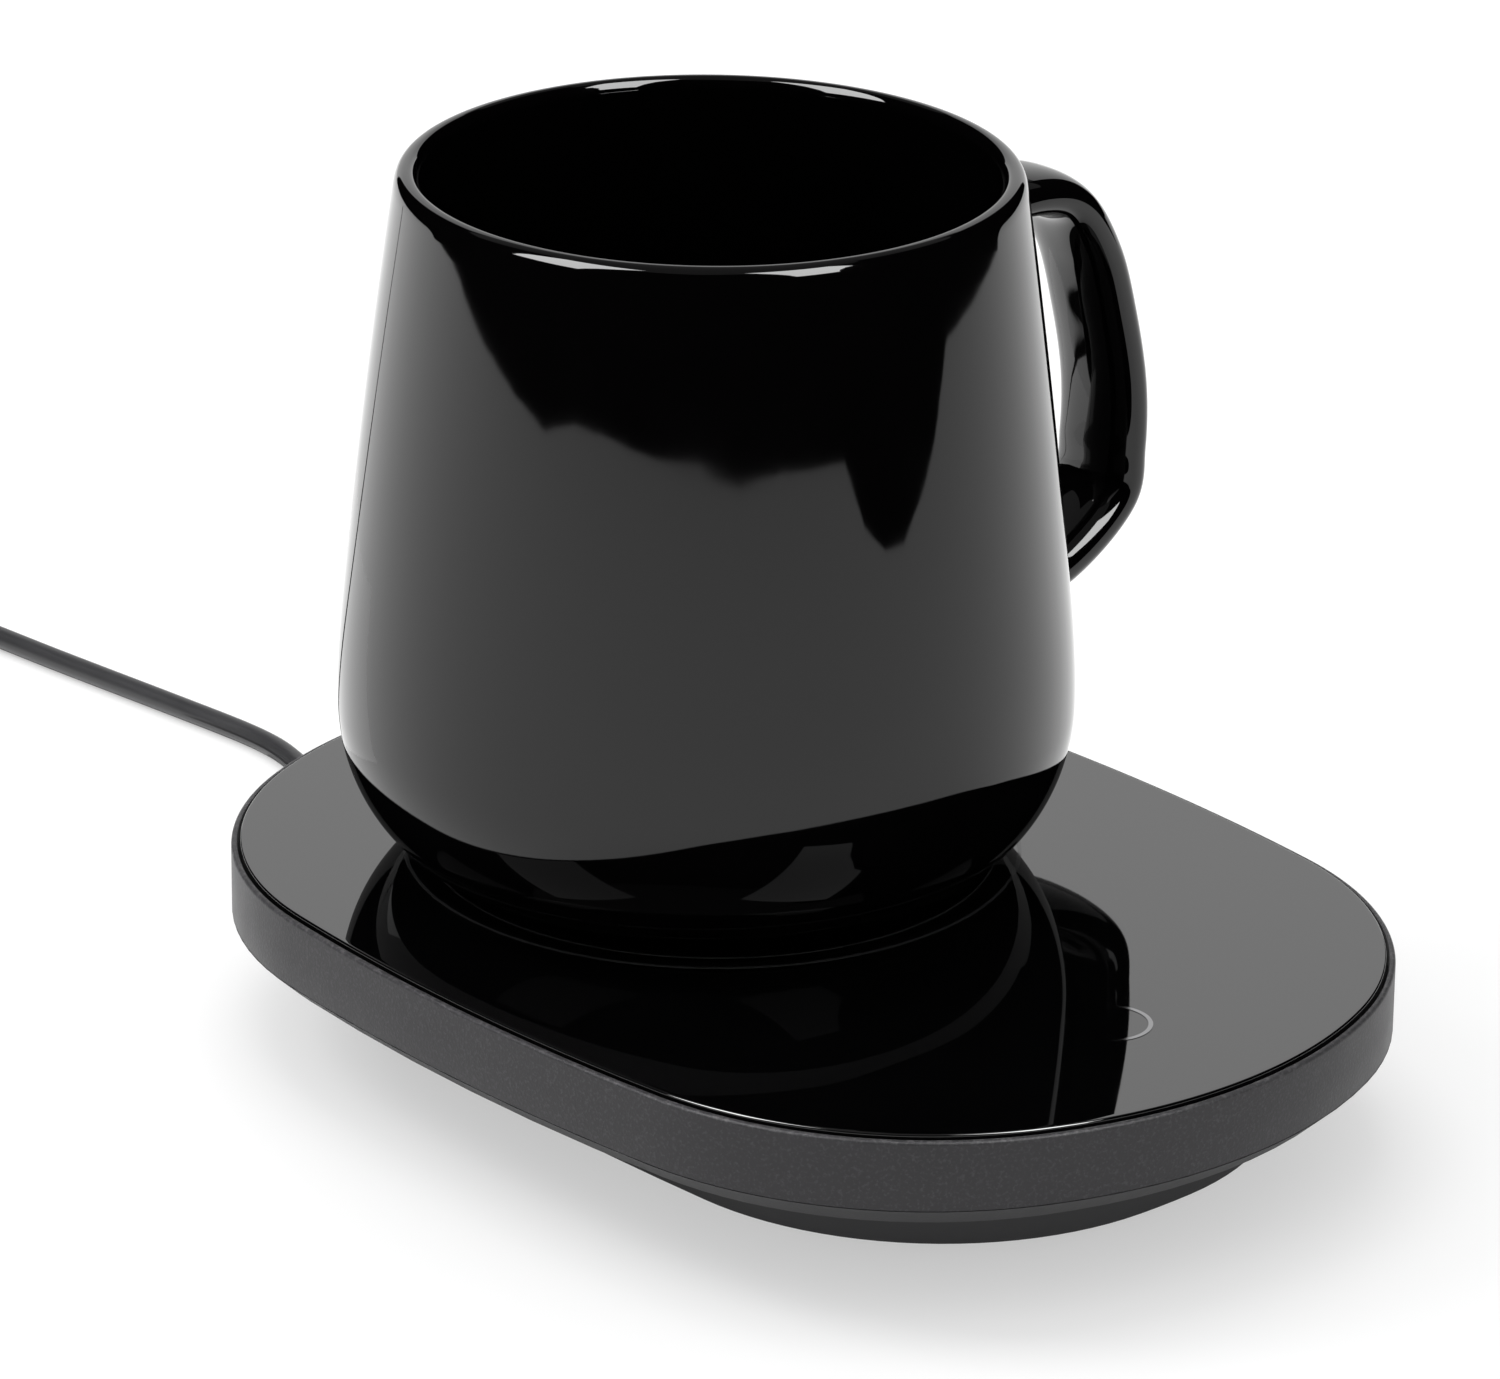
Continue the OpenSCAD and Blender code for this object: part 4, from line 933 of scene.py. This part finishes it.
def makeFloor(s):
    material = bpy.data.materials.new("studioFloor")
    material.use_nodes = True
    tree = material.node_tree
    shader = tree.nodes["Principled BSDF"]
    shader.inputs["Base Color"].default_value = (*s["floorColor"], 1)
    shader.inputs["Roughness"].default_value = s["floorRoughness"]
    shader.inputs["Specular IOR Level"].default_value = 0
    # the camera sees the floor part white, part lit, so that the shadow stays a light one
    glow = tree.nodes.new("ShaderNodeEmission")
    mix = tree.nodes.new("ShaderNodeMixShader")
    path = tree.nodes.new("ShaderNodeLightPath")
    seen = rangeNode(tree, path.outputs["Is Camera Ray"], 0, s["floorWhite"], 0, 1)
    tree.links.new(seen, mix.inputs["Fac"])
    tree.links.new(shader.outputs["BSDF"], mix.inputs[1])
    tree.links.new(glow.outputs["Emission"], mix.inputs[2])
    # and a mirror image of a mirror image sees it dimmer
    second = rangeNode(tree, path.outputs["Ray Depth"], 0, s["floorSecond"], 1, 2)
    again = mathNode(tree, "MULTIPLY", path.outputs["Is Glossy Ray"], second)
    dark = tree.nodes.new("ShaderNodeEmission")
    dark.inputs["Strength"].default_value = 0
    dimmed = tree.nodes.new("ShaderNodeMixShader")
    tree.links.new(again, dimmed.inputs["Fac"])
    tree.links.new(mix.outputs["Shader"], dimmed.inputs[1])
    tree.links.new(dark.outputs["Emission"], dimmed.inputs[2])
    tree.links.new(dimmed.outputs["Shader"], tree.nodes["Material Output"].inputs["Surface"])
    half = s["floorSize"] / 2
    stageMesh("floor", [(-half, -half, 0), (half, -half, 0), (half, half, 0), (-half, half, 0)],
              [(0, 1, 2, 3)], material)


def makeWorld(s):
    # the camera and the mirrors see white, the lit surfaces a slightly dimmer light
    world = bpy.data.worlds.new("studioWorld")
    scene.world = world
    world.use_nodes = True
    tree = world.node_tree
    back = tree.nodes["Background"]
    back.inputs["Color"].default_value = (1, 1, 1, 1)
    path = tree.nodes.new("ShaderNodeLightPath")
    seen = path.outputs["Is Camera Ray"]
    for kind in ("Is Glossy Ray", "Is Transmission Ray"):
        seen = mathNode(tree, "MAXIMUM", seen, path.outputs[kind])
    level = rangeNode(tree, seen, s["worldLight"], 1, 0, 1)
    # a mirror image of a mirror image sees a dimmer room (the world counts itself as one step more)
    depth = mathNode(tree, "MULTIPLY", seen, path.outputs["Ray Depth"])
    second = rangeNode(tree, depth, 1, s["worldSecond"], 2, 3)
    tree.links.new(mathNode(tree, "MULTIPLY", level, second), back.inputs["Strength"])


def mirroredOnly(piece):
    # seen in reflections alone: it neither shows nor shades
    piece.visible_camera = piece.visible_diffuse = piece.visible_shadow = piece.visible_transmission = False


def makeDarkSide(s):
    # the unlit side of the room: an upright wall whose distance from the mug changes with the angle,
    # and a ceiling
    view = Vector(cameraView["place"])
    middle = math.degrees(math.atan2(view.y - s["wallMiddle"], view.x))
    turn, reach = np.array(s["wallLine"], float).T
    a = np.linspace(turn[0], turn[-1], s["wallPoints"])
    radius = np.interp(a, turn, reach)
    a = np.radians(a + middle)
    x, y = radius * np.cos(a), s["wallMiddle"] + radius * np.sin(a)
    low = np.stack([x, y, np.full(len(a), s["wallLow"])], -1)
    high = np.stack([x, y, np.full(len(a), s["wallTop"])], -1)
    n = len(a)
    faces = [(i, i + 1, n + i + 1, n + i) for i in range(n - 1)]
    unlit = emissionMaterial("unlitRoom", s["wallLight"])
    mirroredOnly(stageMesh("darkSide", np.vstack([low, high]).tolist(), faces, unlit))
    half, top = s["ceilingHalf"], s["ceilingHeight"]
    corners = [(-half, -half, top), (half, -half, top), (half, half, top), (-half, half, top)]
    dim = emissionMaterial("dimCeiling", s["ceilingLight"])
    mirroredOnly(stageMesh("dimCeiling", corners, [(0, 1, 2, 3)], dim))


def makeFloorLine(s):
    # in reflections alone, a glowing plate of painted light (lit floor painted over the coil and the coil's
    # shadow) and a line for a cord that runs straight away
    x0, x1, y0, y1 = s["paintedLitFloor"]
    plain = emissionMaterial("paintedLitFloor", s["paintedFloorGlow"])
    corners = [(x, y, s["plainHeight"]) for x, y in ((x0, y0), (x1, y0), (x1, y1), (x0, y1))]
    mirroredOnly(stageMesh("paintedLitFloor", corners, [(0, 1, 2, 3)], plain))
    route = np.array(s["lineRoute"])
    way = np.gradient(route, axis=0)
    way /= np.linalg.norm(way, axis=1)[:, None]
    side = np.stack([way[:, 1], -way[:, 0]], -1) * s["lineWidth"] / 2
    points = [(x, y, s["lineHeight"]) for x, y in np.vstack([route - side, route + side]).tolist()]
    n = len(route)
    dark = emissionMaterial("lineBlack", s["lineLight"])
    faces = [(i, i + 1, n + i + 1, n + i) for i in range(n - 1)]
    mirroredOnly(stageMesh("floorLine", points, faces, dark))


def cardPlace(s, azimuth):
    # azimuth is measured from the camera's side, to the right as the camera sees it
    right = Vector(cameraView["right"][:2]).normalized()
    towards = -Vector(cameraView["forward"][:2]).normalized()
    a, e = math.radians(azimuth), math.radians(s["cardElevation"])
    flat = (towards * math.cos(a) + right * math.sin(a)) * math.cos(e) * s["cardDistance"]
    return Vector(s["target"]) + Vector((flat.x, flat.y, math.sin(e) * s["cardDistance"]))


def makeCard(name, s, card):
    # a bright panel that only the glossy surfaces see
    place = cardPlace(s, card["azimuth"])
    way = (Vector(s["target"]) - place).normalized()
    side = way.cross(Vector((0, 0, 1))).normalized()
    up = side.cross(way)
    corners = [place + side * card["width"] / 2 * x + up * s["cardHeight"] / 2 * z
               for x, z in ((-1, -1), (1, -1), (1, 1), (-1, 1))]
    glow = emissionMaterial(name + "Glow", s["cardLight"], card["second"])
    mirroredOnly(stageMesh(name, [tuple(c) for c in corners], [(0, 1, 2, 3)], glow))


def makeLamp(name, lamp):
    # a square softbox that lights the surfaces but isn't mirrored in them
    data = bpy.data.lights.new(name, "AREA")
    data.shape = "RECTANGLE"
    data.size = data.size_y = lamp["size"]
    data.energy = lamp["power"]
    light = bpy.data.objects.new(name, data)
    scene.collection.objects.link(light)
    light.location = lamp["place"]
    light.visible_glossy = False
    way = Vector(lamp["target"]) - Vector(lamp["place"])
    light.rotation_mode = "QUATERNION"
    light.rotation_quaternion = way.to_track_quat("-Z", "Y")


makeFloor(studio)
makeWorld(studio)
makeDarkSide(studio)
makeFloorLine(studio)
for name, card in studio["cards"].items():
    makeCard(name, studio, card)
for name, lamp in studio["lamps"].items():
    makeLamp(name, lamp)
print("studio is lit")
